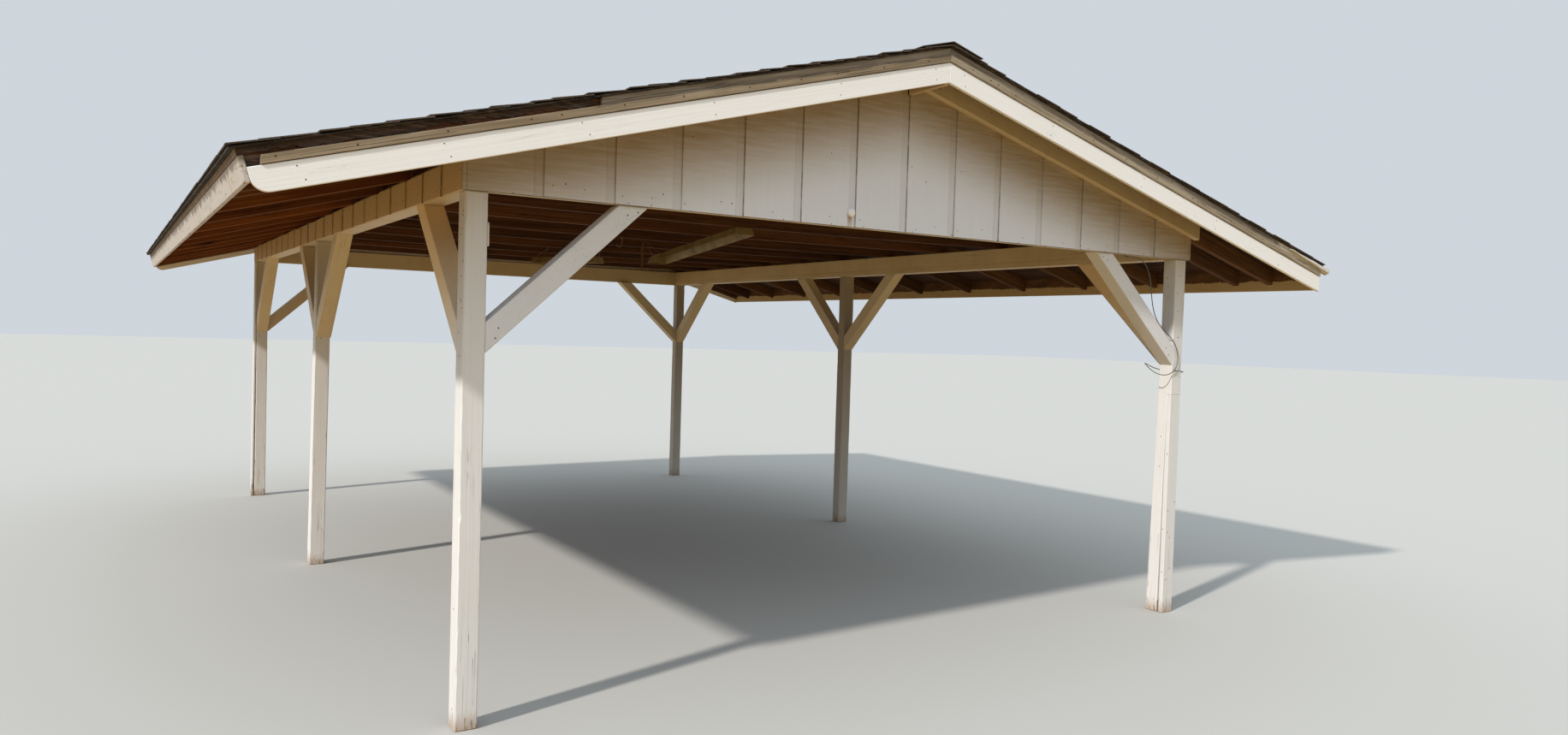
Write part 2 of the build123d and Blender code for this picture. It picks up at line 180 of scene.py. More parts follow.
class Finish(Wiring):
    """A material, with short ways to lay patterns on it."""

    def __init__(self, name, specular, metallic=0.0):
        self.material = bpy.data.materials.new(name)
        self.material.use_nodes = True
        super().__init__(self.material.node_tree)
        self.shader = self.tree.nodes["Principled BSDF"]
        self.shader.inputs["Specular IOR Level"].default_value = specular
        self.shader.inputs["Metallic"].default_value = metallic

    def where(self, scale=(1, 1, 1), attribute=None):
        """Object coordinates, or the piece's own attribute, stretched by scale."""
        if attribute:
            source = self.add("Attribute", output="Vector", attribute_name=attribute)
        else:
            source = self.add("TexCoord", output="Object")
        return self.add("Mapping", {"Vector": source, "Scale": scale})

    def value(self, attribute):
        return self.add("Attribute", output="Fac", attribute_name=attribute)

    def noise(self, vector, scale, detail=4.0, rough=0.6, twist=0.0):
        return self.add(
            "TexNoise",
            {"Vector": vector, "Scale": scale, "Detail": detail, "Roughness": rough, "Distortion": twist},
        )

    def grain(self, stretch, scale, detail, rough, twist=0.0):
        """Noise that follows each board's own length."""
        return self.noise(self.where(stretch, "grain"), scale, detail, rough, twist)

    def cells(self, vector, scale, random_share=1.0, output="Distance"):
        return self.add("TexVoronoi", {"Vector": vector, "Scale": scale, "Randomness": random_share}, output)

    def mix(self, share, a, b, way="MIX"):
        return self.add("Mix", {0: share, 6: a, 7: b}, 2, data_type="RGBA", blend_type=way)

    def bump(self, height, depth, strength, over=None):
        inputs = {"Height": height, "Distance": depth, "Strength": strength}
        if over is not None:
            inputs["Normal"] = over
        return self.add("Bump", inputs)

    def colour(self, socket):
        self.feed(self.shader.inputs["Base Color"], socket)

    def rough(self, socket):
        self.feed(self.shader.inputs["Roughness"], socket)

    def normal(self, socket):
        self.feed(self.shader.inputs["Normal"], socket)


# Camera, light and floor
camera_offset = Vector((-1.1723, -4.1713, 1.5814))
camera_yaw, camera_pitch, camera_roll = (radians(a) for a in (32.3158, -1.8416, 1.7496))
toward_lamp = Vector((-0.7474, -0.2429, 0.6184))
surround_lit, surround_seen = (0.81, 0.92, 1.0), (0.62, 0.67, 0.72)
floor_lit, floor_seen = (0.42, 0.28, 0.12), (0.50, 0.485, 0.46)
floor_half = 90


def into_scene(name, data):
    thing = bpy.data.objects.new(name, data)
    scene.collection.objects.link(thing)
    return thing


def set_camera():
    """The camera at the photograph's place and angle."""
    flat = cos(camera_pitch)
    ahead = Vector((sin(camera_yaw) * flat, cos(camera_yaw) * flat, sin(camera_pitch)))
    level = Vector((cos(camera_yaw), -sin(camera_yaw), 0))
    up = level.cross(ahead)
    across = level * cos(camera_roll) + up * sin(camera_roll)
    upward = up * cos(camera_roll) - level * sin(camera_roll)
    data = bpy.data.cameras.new("camera")
    data.sensor_width = 36
    data.lens = 24.797
    data.shift_y = 0.002
    data.clip_end = 300
    place = Matrix((across, upward, -ahead)).transposed().to_4x4()
    place.translation = Vector((post_lo.x, post_lo.y, 0)) + camera_offset
    scene.camera = into_scene("camera", data)
    scene.camera.matrix_world = place


def set_light():
    """A broad lamp from the left and a little in front, and a pale surround, dimmer low down."""
    lamp = bpy.data.lights.new("key_lamp", "SUN")
    lamp.energy = 3.1
    lamp.angle = radians(2.5)
    lamp.color = (1.0, 0.965, 0.90)
    holder = into_scene("key_lamp", lamp)
    holder.rotation_mode = "QUATERNION"
    holder.rotation_quaternion = toward_lamp.to_track_quat("Z", "Y")

    world = bpy.data.worlds.new("surround")
    world.use_nodes = True
    scene.world = world
    f = Wiring(world.node_tree)
    f.tree.nodes.clear()
    height = f.parts(f.add("TexCoord", output="Generated"))[2]
    strength = f.step(height, 0.04, 0.36, 0.34, 0.98)
    lit = f.add("Background", {"Color": surround_lit, "Strength": strength})
    seen = f.add("Background", {"Color": surround_seen})
    mixed = f.add("MixShader", {0: f.rays("Is Camera Ray", "Is Transmission Ray"), 1: lit, 2: seen})
    f.feed(f.tree.nodes.new("ShaderNodeOutputWorld").inputs["Surface"], mixed)

    scene.view_settings.view_transform = "Standard"


def set_floor():
    """Plain pale floor, which throws a warmer light on the timbers than it shows."""
    bm = bmesh.new()
    bmesh.ops.create_grid(bm, x_segments=1, y_segments=1, size=floor_half)
    mesh = bpy.data.meshes.new("floor")
    bm.to_mesh(mesh)
    bm.free()
    f = Finish("pale_floor", specular=0.1)
    f.rough(0.9)
    f.colour(f.mix(f.rays("Is Camera Ray", "Is Glossy Ray", "Is Transmission Ray"), floor_lit, floor_seen))
    mesh.materials.append(f.material)
    into_scene("floor", mesh)


# Colours that age, dirt and damage leave on paint and wood, and colours of painted shade
greyed_paint = (0.62, 0.60, 0.55)
# Painted shade: tan on braces behind the front
shade_tan_paint = (0.92, 0.72, 0.44)
dust_tan = (0.54, 0.395, 0.22)
shadow_tan = (0.33, 0.225, 0.095)
# Painted shade: brown at the tops of posts
top_shade_brown = (0.30, 0.225, 0.14)
splash_brown = (0.36, 0.225, 0.13)
grime_brown = (0.16, 0.115, 0.075)
groove_dust = (0.42, 0.35, 0.25)
groove_dirt = (0.26, 0.19, 0.12)
# Painted shade along a groove's edge
groove_edge_shade = (0.14, 0.095, 0.055)
rust_brown = (0.40, 0.19, 0.075)
raw_edge_brown = (0.15, 0.095, 0.05)
seam_dark = (0.05, 0.035, 0.025)
crack_dark = (0.11, 0.085, 0.06)
bared_wood = (0.27, 0.205, 0.145)
silvered_wood = (0.40, 0.37, 0.32)
# Painted shade of the recess over the rake boards, with paler slivers
recess_shade_dark, recess_sliver = (0.062, 0.038, 0.026), (0.17, 0.11, 0.075)
bleached_light, bleached_dark = (0.37, 0.29, 0.245), (0.21, 0.15, 0.115)
pale_light, pale_dark = (0.76, 0.71, 0.62), (0.50, 0.44, 0.36)
end_paint = (0.62, 0.50, 0.33)


def toned(colour, share):
    """The colour made darker or lighter, to share of its brightness."""
    return tuple(c * share for c in colour)


# Finishes
def margins(f):
    """Distances of a point of a board from its nearest end, long edge and face."""
    place = f.parts(f.where(attribute="place"))
    half = f.parts(f.where(attribute="half"))
    return [f.minus(half[k], f.absolute(place[k])) for k in range(3)]


def from_ridge(f):
    """Distance of a point from the ridge line, to either side."""
    return f.absolute(f.minus(f.parts(f.where())[0], ridge_x))


def out_past(f, along, fade):
    """One where a point lies further than along towards either gable, and nought within it."""
    return f.step(f.absolute(f.parts(f.where())[1]), along, along + fade)


def line_at(f, value, middle, outer, inner=None):
    """One where value is within inner of middle, fading to nought at outer."""
    away = f.absolute(f.minus(value, middle))
    return f.step(away, outer, outer * 0.6 if inner is None else inner)


def groove_dirt_and_shade(f, colour, axis, start, pitch):
    """Marks in the grooves of a sheet: a faint dusty band, a thin dirt line and a dark broken line of painted
    shade at one edge.
    """
    axes = f.parts(f.where())
    turn = f.calc("FRACT", f.calc("DIVIDE", f.minus(axes[axis], start), pitch))
    broken = f.step(f.noise(f.where((9, 9, 5)), 2.0, 5.0, 0.7), 0.35, 0.62, 0.45, 1.0)
    band = line_at(f, turn, 0.5, 0.066)
    colour = f.mix(f.times(band, 0.14), colour, groove_dust)
    thin = f.times(line_at(f, turn, 0.434, 0.008), broken)
    colour = f.mix(f.times(thin, 0.5), colour, groove_dirt)
    uneven = f.step(f.noise(f.where((2.1, 2.1, 0.35)), 1.0, 2.0, 0.5), 0.36, 0.60, 0.35, 1.0)
    # Painted shade: the dark broken line where a groove's wall shades it
    dark = f.times(f.times(line_at(f, turn, 0.563, 0.0085), broken), uneven)
    return f.mix(f.times(dark, 0.72), colour, groove_edge_shade)


def rust_run(f, colour, x, z):
    """Rust round a fixing on the front sheet, and running down from it."""
    axes = f.parts(f.where())
    wobble = f.times(f.minus(f.noise(f.where((40, 40, 40)), 1.0), 0.5), 0.014)
    aside = f.absolute(f.plus(f.minus(axes[0], x - 0.006), wobble))
    tail = f.step(axes[2], z - 0.07, z - 0.01, 0.25, 0.8)
    below = f.times(tail, f.step(axes[2], z + 0.022, z - 0.005))
    run = f.times(f.step(aside, 0.022, 0.009), below)
    return f.mix(run, colour, rust_brown)


def old_paint(
    name, paint, dust, peel=0.06, foot=0.0, grime=0.0, painted_roof_shade=0.0, grooves=None, rust_at=None,
    seams=(), checks=0.6, brush=0.06, top_shade=0.0, top_shade_from=0.1, raw_edge=None, shade_behind=None,
):
    """House paint on softwood: brush marks, dust, worn edges, flaking places and checks, with painted shade
    close under the roof, at the tops of posts and on braces behind the front.

    dust is the share of tan dirt, peel of bare wood, foot how worn the lowest part is, grime
    the share of brown at the upper edge, painted_roof_shade the share of tan painted as shade
    close under the roof, grooves the axis, start and pitch of a sheet's grooves, rust_at the
    place of a rusty fixing, seams the butt joints along Y, checks the share of fine cracks,
    brush the depth of the brush marks' tone, top_shade the share of brown painted as shade at
    the top of a post, top_shade_from the height where that starts, raw_edge the height of a
    sheet's unpainted lower edge, and shade_behind the distance along Y within which the
    upper paint has gone tan as painted shade."""
    f = Finish(name, specular=0.25)
    fibre = f.grain((2.0, 42.0, 42.0), 3.0, 6.0, 0.65)
    strokes = f.grain((1.2, 110.0, 110.0), 1.6, 3.0, 0.55)
    cloud = f.noise(f.where(), 2.3, 5.0, 0.6)
    patch = f.noise(f.where((6, 6, 1.4)), 3.0, 6.0, 0.68)
    tone = f.value("tone")
    ends, edges, faces = margins(f)
    axes = f.parts(f.where())

    colour = f.mix(f.step(strokes, 0.3, 0.7), paint, toned(paint, 1 - brush))
    colour = f.mix(f.times(tone, 0.10), colour, greyed_paint)
    blend = f.plus(f.times(cloud, 0.6), f.times(patch, 0.4))
    dirt = f.plus(f.times(f.step(blend, 0.42, 0.68), dust), dust * 0.15, clamp=True)
    # Painted shade: tan close under the roof, where the roof keeps the light off
    if painted_roof_shade:
        rise = f.plus(axes[2], f.times(from_ridge(f), slope_ratio))
        near = f.step(rise, apex - 0.46, apex + 0.02)
        streaks = f.noise(f.where((3, 3, 40)), 1.5, 5.0, 0.65)
        shadow = f.times(f.times(near, f.step(streaks, 0.25, 0.7, 0.7, 1.0)), painted_roof_shade)
        colour = f.mix(shadow, colour, shadow_tan)
    colour = f.mix(dirt, colour, dust_tan)
    # Painted shade: brown towards the top of a post
    if top_shade:
        colour = f.mix(f.step(axes[2], top_shade_from, 1.9, 0.0, top_shade), colour, top_shade_brown)
    if foot:
        splash = f.plus(axes[2], f.times(patch, 0.12))
        colour = f.mix(f.step(splash, 0.145, 0.055, 0.0, 0.62), colour, splash_brown)
    # Painted shade: the upper part of a brace behind the front goes tan
    if shade_behind:
        behind = f.times(out_past(f, shade_behind, -0.01), f.step(axes[2], 1.45, 1.85, 0.35, 0.95))
        colour = f.mix(behind, colour, shade_tan_paint)
    if grooves:
        colour = groove_dirt_and_shade(f, colour, *grooves)
    if rust_at:
        colour = rust_run(f, colour, *rust_at)
    if grime:
        rim = f.parts(f.where(attribute="place"))[1]
        runs = f.grain((11, 1.6, 3), 1.5, 5.0, 0.65)
        ragged = f.plus(rim, f.times(f.minus(runs, 0.5), 0.11))
        colour = f.mix(f.times(f.step(ragged, 0.010, 0.034), grime), colour, grime_brown)
    if raw_edge:
        colour = f.mix(f.step(axes[2], raw_edge + 0.0016, raw_edge + 0.0004), colour, raw_edge_brown)
    for seam in seams:
        colour = f.mix(line_at(f, axes[1], seam, 0.003), colour, seam_dark)

    chips = f.grain((9.0, 60.0, 60.0), 2.2, 7.0, 0.72)
    flakes = f.cells(f.where((16.0, 70.0, 70.0), "grain"), 1.0)
    near_end = f.step(ends, 0.14, 0.0, 0.0, 0.09)
    near_edge = f.step(f.calc("MAXIMUM", edges, faces), 0.011, 0.0, 0.0, 0.10)
    worn = f.plus(f.times(f.step(patch, 0.5, 0.85), 0.12), f.plus(near_end, near_edge))
    if foot:
        worn = f.plus(worn, f.step(axes[2], 0.22, 0.0, 0.0, foot))
    bare_above = f.minus(0.95 - peel * 0.9, worn)
    shade = f.plus(f.times(chips, 0.72), f.times(flakes, 0.42))
    bare = f.step(f.minus(shade, bare_above), 0.0, 0.035)
    split = f.grain((0.8, 62.0, 62.0), 1.3, 2.0, 0.5)
    fine = line_at(f, split, 0.57, 0.007, 0.002)
    weather = f.grain((2.2, 5, 5), 1.5, 3.0, 0.6)
    crack = f.times(fine, f.step(weather, 0.52, 0.66, 0.0, checks))
    if foot:
        low_crack = f.times(fine, f.step(axes[2], 0.7, 0.1, 0.0, 0.5))
        crack = f.plus(crack, low_crack, clamp=True)
    wood = f.mix(f.step(fibre, 0.3, 0.75), bared_wood, toned(bared_wood, 1.75))
    colour = f.mix(bare, colour, wood)
    f.colour(f.mix(crack, colour, crack_dark))
    f.rough(f.step(f.plus(bare, f.times(dirt, 0.5)), 0.0, 1.0, 0.5, 0.88))
    relief = f.bump(strokes, 0.0012, 0.5)
    relief = f.bump(fibre, 0.0015, 0.25, relief)
    relief = f.bump(f.times(crack, -1.0), 0.002, 0.7, relief)
    f.normal(f.bump(f.times(bare, -1.0), 0.0012, 0.6, relief))
    return f.material


def half_painted(name, paint, bare, top):
    """A board whose inner face is painted only up to a ragged line, with bare wood above."""
    f = Finish(name, specular=0.2)
    axes = f.parts(f.where())
    fibre = f.grain((2.0, 50.0, 50.0), 2.6, 6.0, 0.65)
    wave = f.noise(f.where((1, 7, 1)), 1.6, 6.0, 0.7)
    mottle = f.noise(f.where((6, 3, 9)), 1.7, 5.0, 0.7)
    line = f.plus(axes[2], f.times(f.minus(wave, 0.5), 0.045))
    coated = f.step(line, top + 0.004, top - 0.004)
    tint = f.mix(f.step(fibre, 0.3, 0.75), paint, toned(paint, 0.86))
    tint = f.mix(f.step(mottle, 0.5, 0.75, 0.0, 0.4), tint, toned(paint, 0.72))
    wood = f.mix(f.step(mottle, 0.4, 0.65), bare, toned(bare, 1.9))
    wood = f.mix(f.step(fibre, 0.5, 0.8, 0.0, 0.6), wood, toned(bare, 0.5))
    chips = f.grain((9.0, 60.0, 60.0), 2.2, 7.0, 0.72)
    gone = f.step(chips, 0.66, 0.70)
    f.colour(f.mix(f.minus(coated, gone, clamp=True), wood, tint))
    f.rough(f.step(fibre, 0.3, 0.7, 0.6, 0.85))
    f.normal(f.bump(fibre, 0.0015, 0.35, f.bump(coated, 0.0008, 0.5)))
    return f.material


def gable_recess_shade(f, colour, beyond):
    """Very dark brown, painted shade of the recess under the shingles, with paler slivers, on what faces out
    above the rake boards.
    """
    slivers = f.noise(f.where((5, 5, 75)), 1.6, 4.0, 0.6, 0.5)
    face = f.mix(f.step(slivers, 0.50, 0.64), recess_shade_dark, recess_sliver)
    return f.mix(out_past(f, beyond, 0.0007), colour, face)


def bare_wood(
    name, dark, light, silver=0.0, stain=0.3, shade_out_from=None, painted_beyond=None, pale_from=None,
    eave_face=None,
):
    """Old sawn softwood: long grain, knots, saw marks, cracks and a tone for each board.

    shade_out_from is how far out along Y a board's outer face is darkened as painted shade, painted_beyond
    how far out it is painted, pale_from the distance from the ridge at which it goes pale, and eave_face the
    distance at which its edge is bleached."""
    f = Finish(name, specular=0.2)
    rings = f.grain((0.9, 26.0, 26.0), 1.4, 4.0, 0.55, 1.1)
    fibre = f.grain((4.0, 170.0, 170.0), 2.0, 5.0, 0.65)
    sawn = f.grain((75.0, 5.0, 5.0), 1.5, 2.0, 0.5)
    cloud = f.noise(f.where((1.6, 1.6, 1.6)), 2.0, 5.0, 0.65)
    tone = f.value("tone")

    colour = f.mix(f.step(rings, 0.34, 0.66), dark, light)
    colour = f.mix(f.step(fibre, 0.35, 0.75, 0.0, 0.45), colour, toned(dark, 0.55))
    colour = f.mix(f.times(tone, 0.55), colour, f.mix(0.55, dark, light))
    bright = f.step(tone, 0.0, 1.0, 0.72, 1.22)
    colour = f.mix(1.0, colour, f.add("CombineXYZ", {0: bright, 1: bright, 2: bright}), "MULTIPLY")
    knots = f.cells(f.where((1.7, 9.0, 9.0), "grain"), 1.0, 0.9)
    knot = f.step(knots, 0.085, 0.045)
    halo = f.step(knots, 0.20, 0.08, 0.0, 0.5)
    colour = f.mix(halo, colour, toned(dark, 0.75))
    colour = f.mix(knot, colour, toned(dark, 0.35))
    colour = f.mix(f.step(cloud, 0.45, 0.8, 0.0, stain), colour, toned(dark, 0.4))
    if silver:
        grey = f.grain((2.5, 60.0, 60.0), 2.0, 6.0, 0.7)
        colour = f.mix(f.step(grey, 0.35, 0.75, 0.0, silver), colour, silvered_wood)
    split = f.grain((0.7, 55.0, 55.0), 1.2, 3.0, 0.5)
    crack = line_at(f, split, 0.60, 0.010, 0.003)
    colour = f.mix(f.times(crack, 0.7), colour, toned(dark, 0.25))
    # Painted shade: outward faces in the recess above the rake boards go very dark
    if shade_out_from:
        colour = gable_recess_shade(f, colour, shade_out_from)
    if painted_beyond:
        colour = f.mix(out_past(f, painted_beyond, 0.002), colour, end_paint)
    if eave_face:
        streaks = f.noise(f.where((3, 26, 3)), 1.7, 5.0, 0.65)
        bleached = f.mix(f.step(streaks, 0.38, 0.62), bleached_light, bleached_dark)
        colour = f.mix(f.step(from_ridge(f), eave_face, eave_face + 0.001), colour, bleached)
    if pale_from:
        ragged = f.plus(from_ridge(f), f.times(fibre, 0.12))
        pale = f.mix(f.step(fibre, 0.4, 0.6), pale_light, pale_dark)
        colour = f.mix(f.step(ragged, pale_from, pale_from + 0.05), colour, pale)
    f.colour(colour)
    f.rough(f.step(fibre, 0.2, 0.8, 0.72, 0.92))
    relief = f.bump(rings, 0.0015, 0.4)
    relief = f.bump(fibre, 0.001, 0.4, relief)
    relief = f.bump(sawn, 0.0006, 0.3, relief)
    f.normal(f.bump(f.times(crack, -1.0), 0.003, 0.7, relief))
    return f.material


def shingle_granules(name):
    """Mineral granules on bitumen, a tone for each tab, lichen-grey wear and dark streaks."""
    f = Finish(name, specular=0.15)
    grit_tone = f.parts(f.cells(f.where(), 420.0, 1.0, "Color"))[0]
    cloud = f.noise(f.where(), 1.1, 5.0, 0.65)
    blotch = f.noise(f.where(), 9.0, 5.0, 0.7)
    tone = f.value("tone")
    colour = f.mix(tone, (0.052, 0.038, 0.030), (0.120, 0.090, 0.070))
    colour = f.mix(f.step(grit_tone, 0.55, 0.95, 0.0, 0.6), colour, (0.20, 0.165, 0.135))
    colour = f.mix(f.step(grit_tone, 0.40, 0.05, 0.0, 0.6), colour, (0.022, 0.017, 0.014))
    colour = f.mix(f.step(cloud, 0.45, 0.75, 0.0, 0.4), colour, (0.115, 0.105, 0.092))
    f.colour(f.mix(f.step(blotch, 0.58, 0.8, 0.0, 0.45), colour, (0.030, 0.025, 0.021)))
    f.rough(f.step(blotch, 0.3, 0.7, 0.82, 0.95))
    f.normal(f.bump(grit_tone, 0.0012, 0.7, f.bump(blotch, 0.004, 0.3)))
    return f.material


def roofing_felt(name, dark, light, worn):
    """Coarse bitumen felt, worn in patches and paler along its layers."""
    f = Finish(name, specular=0.2)
    weave = f.noise(f.where(), 130.0, 4.0, 0.7)
    cloud = f.noise(f.where(), 6.0, 5.0, 0.6)
    layers = f.noise(f.where((5, 5, 90)), 1.7, 4.0, 0.6)
    colour = f.mix(f.step(weave, 0.35, 0.7), dark, light)
    colour = f.mix(f.step(cloud, 0.4, 0.7, 0.0, 0.6), colour, worn)
    f.colour(f.mix(f.step(layers, 0.52, 0.66, 0.0, 0.8), colour, toned(worn, 1.5)))
    f.rough(f.step(cloud, 0.3, 0.7, 0.75, 0.92))
    f.normal(f.bump(weave, 0.0015, 0.6))
    return f.material


def yellowed_enamel(name):
    """Baked enamel gone dull and yellow, with dust, fly specks and rust at the folds."""
    f = Finish(name, specular=0.4)
    cloud = f.noise(f.where(), 7.0, 5.0, 0.65)
    fine = f.noise(f.where(), 60.0, 5.0, 0.7)
    specks = f.cells(f.where(), 55.0)
    colour = f.mix(f.step(cloud, 0.3, 0.7), (0.30, 0.235, 0.105), (0.165, 0.12, 0.045))
    colour = f.mix(f.step(fine, 0.4, 0.8, 0.0, 0.5), colour, (0.11, 0.08, 0.035))
    colour = f.mix(f.step(specks, 0.13, 0.06, 0.0, 0.75), colour, (0.035, 0.025, 0.015))
    spread = f.plus(f.times(cloud, 0.6), f.times(fine, 0.4))
    rust = f.step(spread, 0.56, 0.64, 0.0, 0.85)
    f.colour(f.mix(rust, colour, (0.14, 0.05, 0.018)))
    f.rough(f.step(fine, 0.3, 0.7, 0.38, 0.7))
    f.normal(f.bump(fine, 0.0006, 0.4))
    return f.material


def rusty_metal(name, steel, rust, share=0.6):
    """Thin steel under a pitted crust of rust, which covers share of it."""
    f = Finish(name, specular=0.4, metallic=0.35)
    crust = f.noise(f.where(), 90.0, 6.0, 0.7)
    pits = f.noise(f.where(), 400.0, 3.0, 0.6)
    colour = f.mix(f.step(crust, 0.62 - share * 0.35, 0.72 - share * 0.25), steel, rust)
    f.colour(f.mix(f.step(pits, 0.5, 0.8, 0.0, 0.7), colour, toned(rust, 0.4)))
    f.rough(f.step(crust, 0.3, 0.7, 0.5, 0.88))
    f.normal(f.bump(pits, 0.0005, 0.5))
    return f.material


# Making pieces
merge_distance = 1e-5
flat_angle = radians(0.05)
sharp_angle = radians(30)
wear_spacing = 0.03
edge_share = 0.85
unworn_end = 0.004
# A lath's lower edge lies under this level, and comes down by the gap to rest on its rake board
lath_foot_limit = 0.070
lath_gap = 0.0138


def islands(bm):
    """Groups of joined vertices, one for each separate board."""
    seen = set()
    groups = []
    for first in bm.verts:
        if first in seen:
            continue
        seen.add(first)
        group = [first]
        for vert in group:
            for edge in vert.link_edges:
                other = edge.other_vert(vert)
                if other not in seen:
                    seen.add(other)
                    group.append(other)
        groups.append(group)
    return groups


def main_direction(points):
    """Direction in which the points spread most, pointing to its larger positive part."""
    way = np.linalg.svd(points - points.mean(0), full_matrices=False)[2][0]
    return way if way[np.argmax(np.abs(way))] > 0 else -way


def board_axes(points, along=None):
    """Rows of a turn into a board's own axes: its length, width and thickness."""
    long_way = np.array(along, float) if along else main_direction(points)
    flat = points - np.outer(points @ long_way, long_way)
    wide_way = main_direction(flat)
    return np.array([long_way, wide_way, np.cross(long_way, wide_way)])


def mark_grain(bm, seed, along=None):
    """Gives each board its grain, its place from its middle, its half sizes and its own tone."""
    rng = random.Random(seed)
    layers = bm.verts.layers
    grain, place, half = (layers.float_vector.new(key) for key in ("grain", "place", "half"))
    tone = layers.float.new("tone")
    for group in islands(bm):
        points = np.array([vert.co[:] for vert in group])
        local = points @ board_axes(points, along).T
        low, high = local.min(0), local.max(0)
        local = local - (low + high) / 2
        shift = Vector((rng.uniform(0, 40), rng.uniform(0, 9), rng.uniform(0, 9)))
        board_tone = rng.random()
        for vert, spot in zip(group, local):
            vert[grain] = Vector(spot) + shift
            vert[place] = Vector(spot)
            vert[half] = Vector((high - low) / 2)
            vert[tone] = board_tone


def ripple(*spot):
    """Smooth unevenness about nought, the same each time for the same spot."""
    return noise.noise(Vector(spot))


def wear_edges(bm, depth):
    """Cuts each board across every 30 mm and rubs its long edges unevenly wider, faces kept flat."""
    for number, group in enumerate(islands(bm)):
        points = np.array([vert.co[:] for vert in group])
        axes = board_axes(points)
        local = points @ axes.T
        low, high = local.min(0), local.max(0)
        middle, half = (low + high) / 2, (high - low) / 2
        board = set(group)
        for vert in group:
            board.update(vert.link_edges, vert.link_faces)
        cuts = int((high[0] - low[0]) / wear_spacing)
        for k in range(1, cuts):
            at = low[0] + (high[0] - low[0]) * k / cuts
            cut = bmesh.ops.bisect_plane(
                bm, geom=list(board), dist=1e-6, plane_co=Vector(axes[0] * at), plane_no=Vector(axes[0])
            )
            board = set(cut["geom"])
        for vert in (part for part in board if isinstance(part, bmesh.types.BMVert)):
            along, wide, thick = axes @ np.array(vert.co[:]) - middle
            at_edge = min(abs(wide) / half[1], abs(thick) / half[2]) >= edge_share
            if not at_edge or abs(along) > half[0] - unworn_end:
                continue
            edge = np.sign(wide) + 3 * np.sign(thick) + 7 * number
            rub = 0.5 + 0.9 * ripple(along * 11, edge * 5.3, 0.4) + 0.6 * ripple(along * 47, edge * 9.1, 2.6)
            on_narrow_face = half[1] - abs(wide) < half[2] - abs(thick)
            outward = axes[2] * np.sign(thick) if on_narrow_face else axes[1] * np.sign(wide)
            vert.co -= Vector(outward * depth * max(0.0, rub) ** 2)


def bevel(bm, edges, width, segments=1):
    """Rounds or chamfers the edges given."""
    bmesh.ops.bevel(
        bm, geom=edges, offset=width, offset_type="OFFSET", segments=segments, profile=0.5,
        affect="EDGES", clamp_overlap=True, material=-1,
    )


def soften(bm, width):
    """Takes the sharp edges off."""
    if width:
        closed = [e for e in bm.edges if len(e.link_faces) == 2]
        bevel(bm, [e for e in closed if e.calc_face_angle() > sharp_angle], width)


def solid_copy(node):
    """The node's solids as merged faces."""
    bm = bmesh.new()
    bm.from_mesh(nodes[node].data)
    bmesh.ops.remove_doubles(bm, verts=bm.verts, dist=merge_distance)
    bmesh.ops.dissolve_limit(
        bm, angle_limit=flat_angle, verts=bm.verts, edges=bm.edges, use_dissolve_boundaries=False
    )
    return bm


def enter(data, material, slot, *stands_for):
    """A mesh or a curve as a piece of the carport, named as its data is."""
    data.materials.append(material)
    piece = into_scene(data.name, data)
    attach(piece, "root")
    if stands_for:
        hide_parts(*stands_for)
    return piece


def finished(bm, name, material, slot, *stands_for):
    """The bmesh as a piece of the carport."""
    mesh = bpy.data.meshes.new(name)
    bm.to_mesh(mesh)
    bm.free()
    enter(mesh, material, slot, *stands_for)


def dressed(node, name, material, edge=0.003, along=None, worn=0.0, slot="painted_wood"):
    """The node's own shape with softened and worn edges, grain and a finish."""
    bm = solid_copy(node)
    soften(bm, edge)
    if worn:
        wear_edges(bm, worn)
    mark_grain(bm, node, along)
    finished(bm, name, material, slot, node)


def thin_lath(hand, wood):
    """The lath above a rake board, resting on its top and standing a little proud of it."""
    bm = solid_copy(f"rake_strip_{hand}")
    for vert in bm.verts:
        if abs(vert.co.y) > -lath_face:
            vert.co.y = -lath_face if vert.co.y > 0 else lath_face
        level = (vert.co.z - underside(abs(vert.co.x - ridge_x))) * slope_run
        if level < lath_foot_limit:
            vert.co.z -= lath_gap / slope_run
    soften(bm, 0.0015)
    wear_edges(bm, 0.0012)
    mark_grain(bm, f"lath {hand}")
    finished(bm, f"rake_lath_{hand}", wood, "weathered_wood", f"rake_strip_{hand}")


def round_wire(name, points, radius, around, along):
    """A smooth round wire drawn by the pull of its points."""
    line = bpy.data.curves.new(name, "CURVE")
    line.dimensions = "3D"
    line.bevel_depth = radius
    line.bevel_resolution = around
    line.resolution_u = along
    spline = line.splines.new("NURBS")
    spline.points.add(len(points) - 1)
    for point, spot in zip(spline.points, points):
        point.co = (*spot, 1)
    spline.order_u = 3
    spline.use_endpoint_u = True
    return line


def block(bm, low, high, place=Matrix()):
    """A box between two corners of a local frame."""
    low, high = Vector(low), Vector(high)
    size = high - low
    fit = place @ Matrix.Translation((low + high) / 2) @ Matrix.Diagonal((*size, 1))
    return bmesh.ops.create_cube(bm, size=1, matrix=fit)["verts"]


set_camera()
set_light()
set_floor()

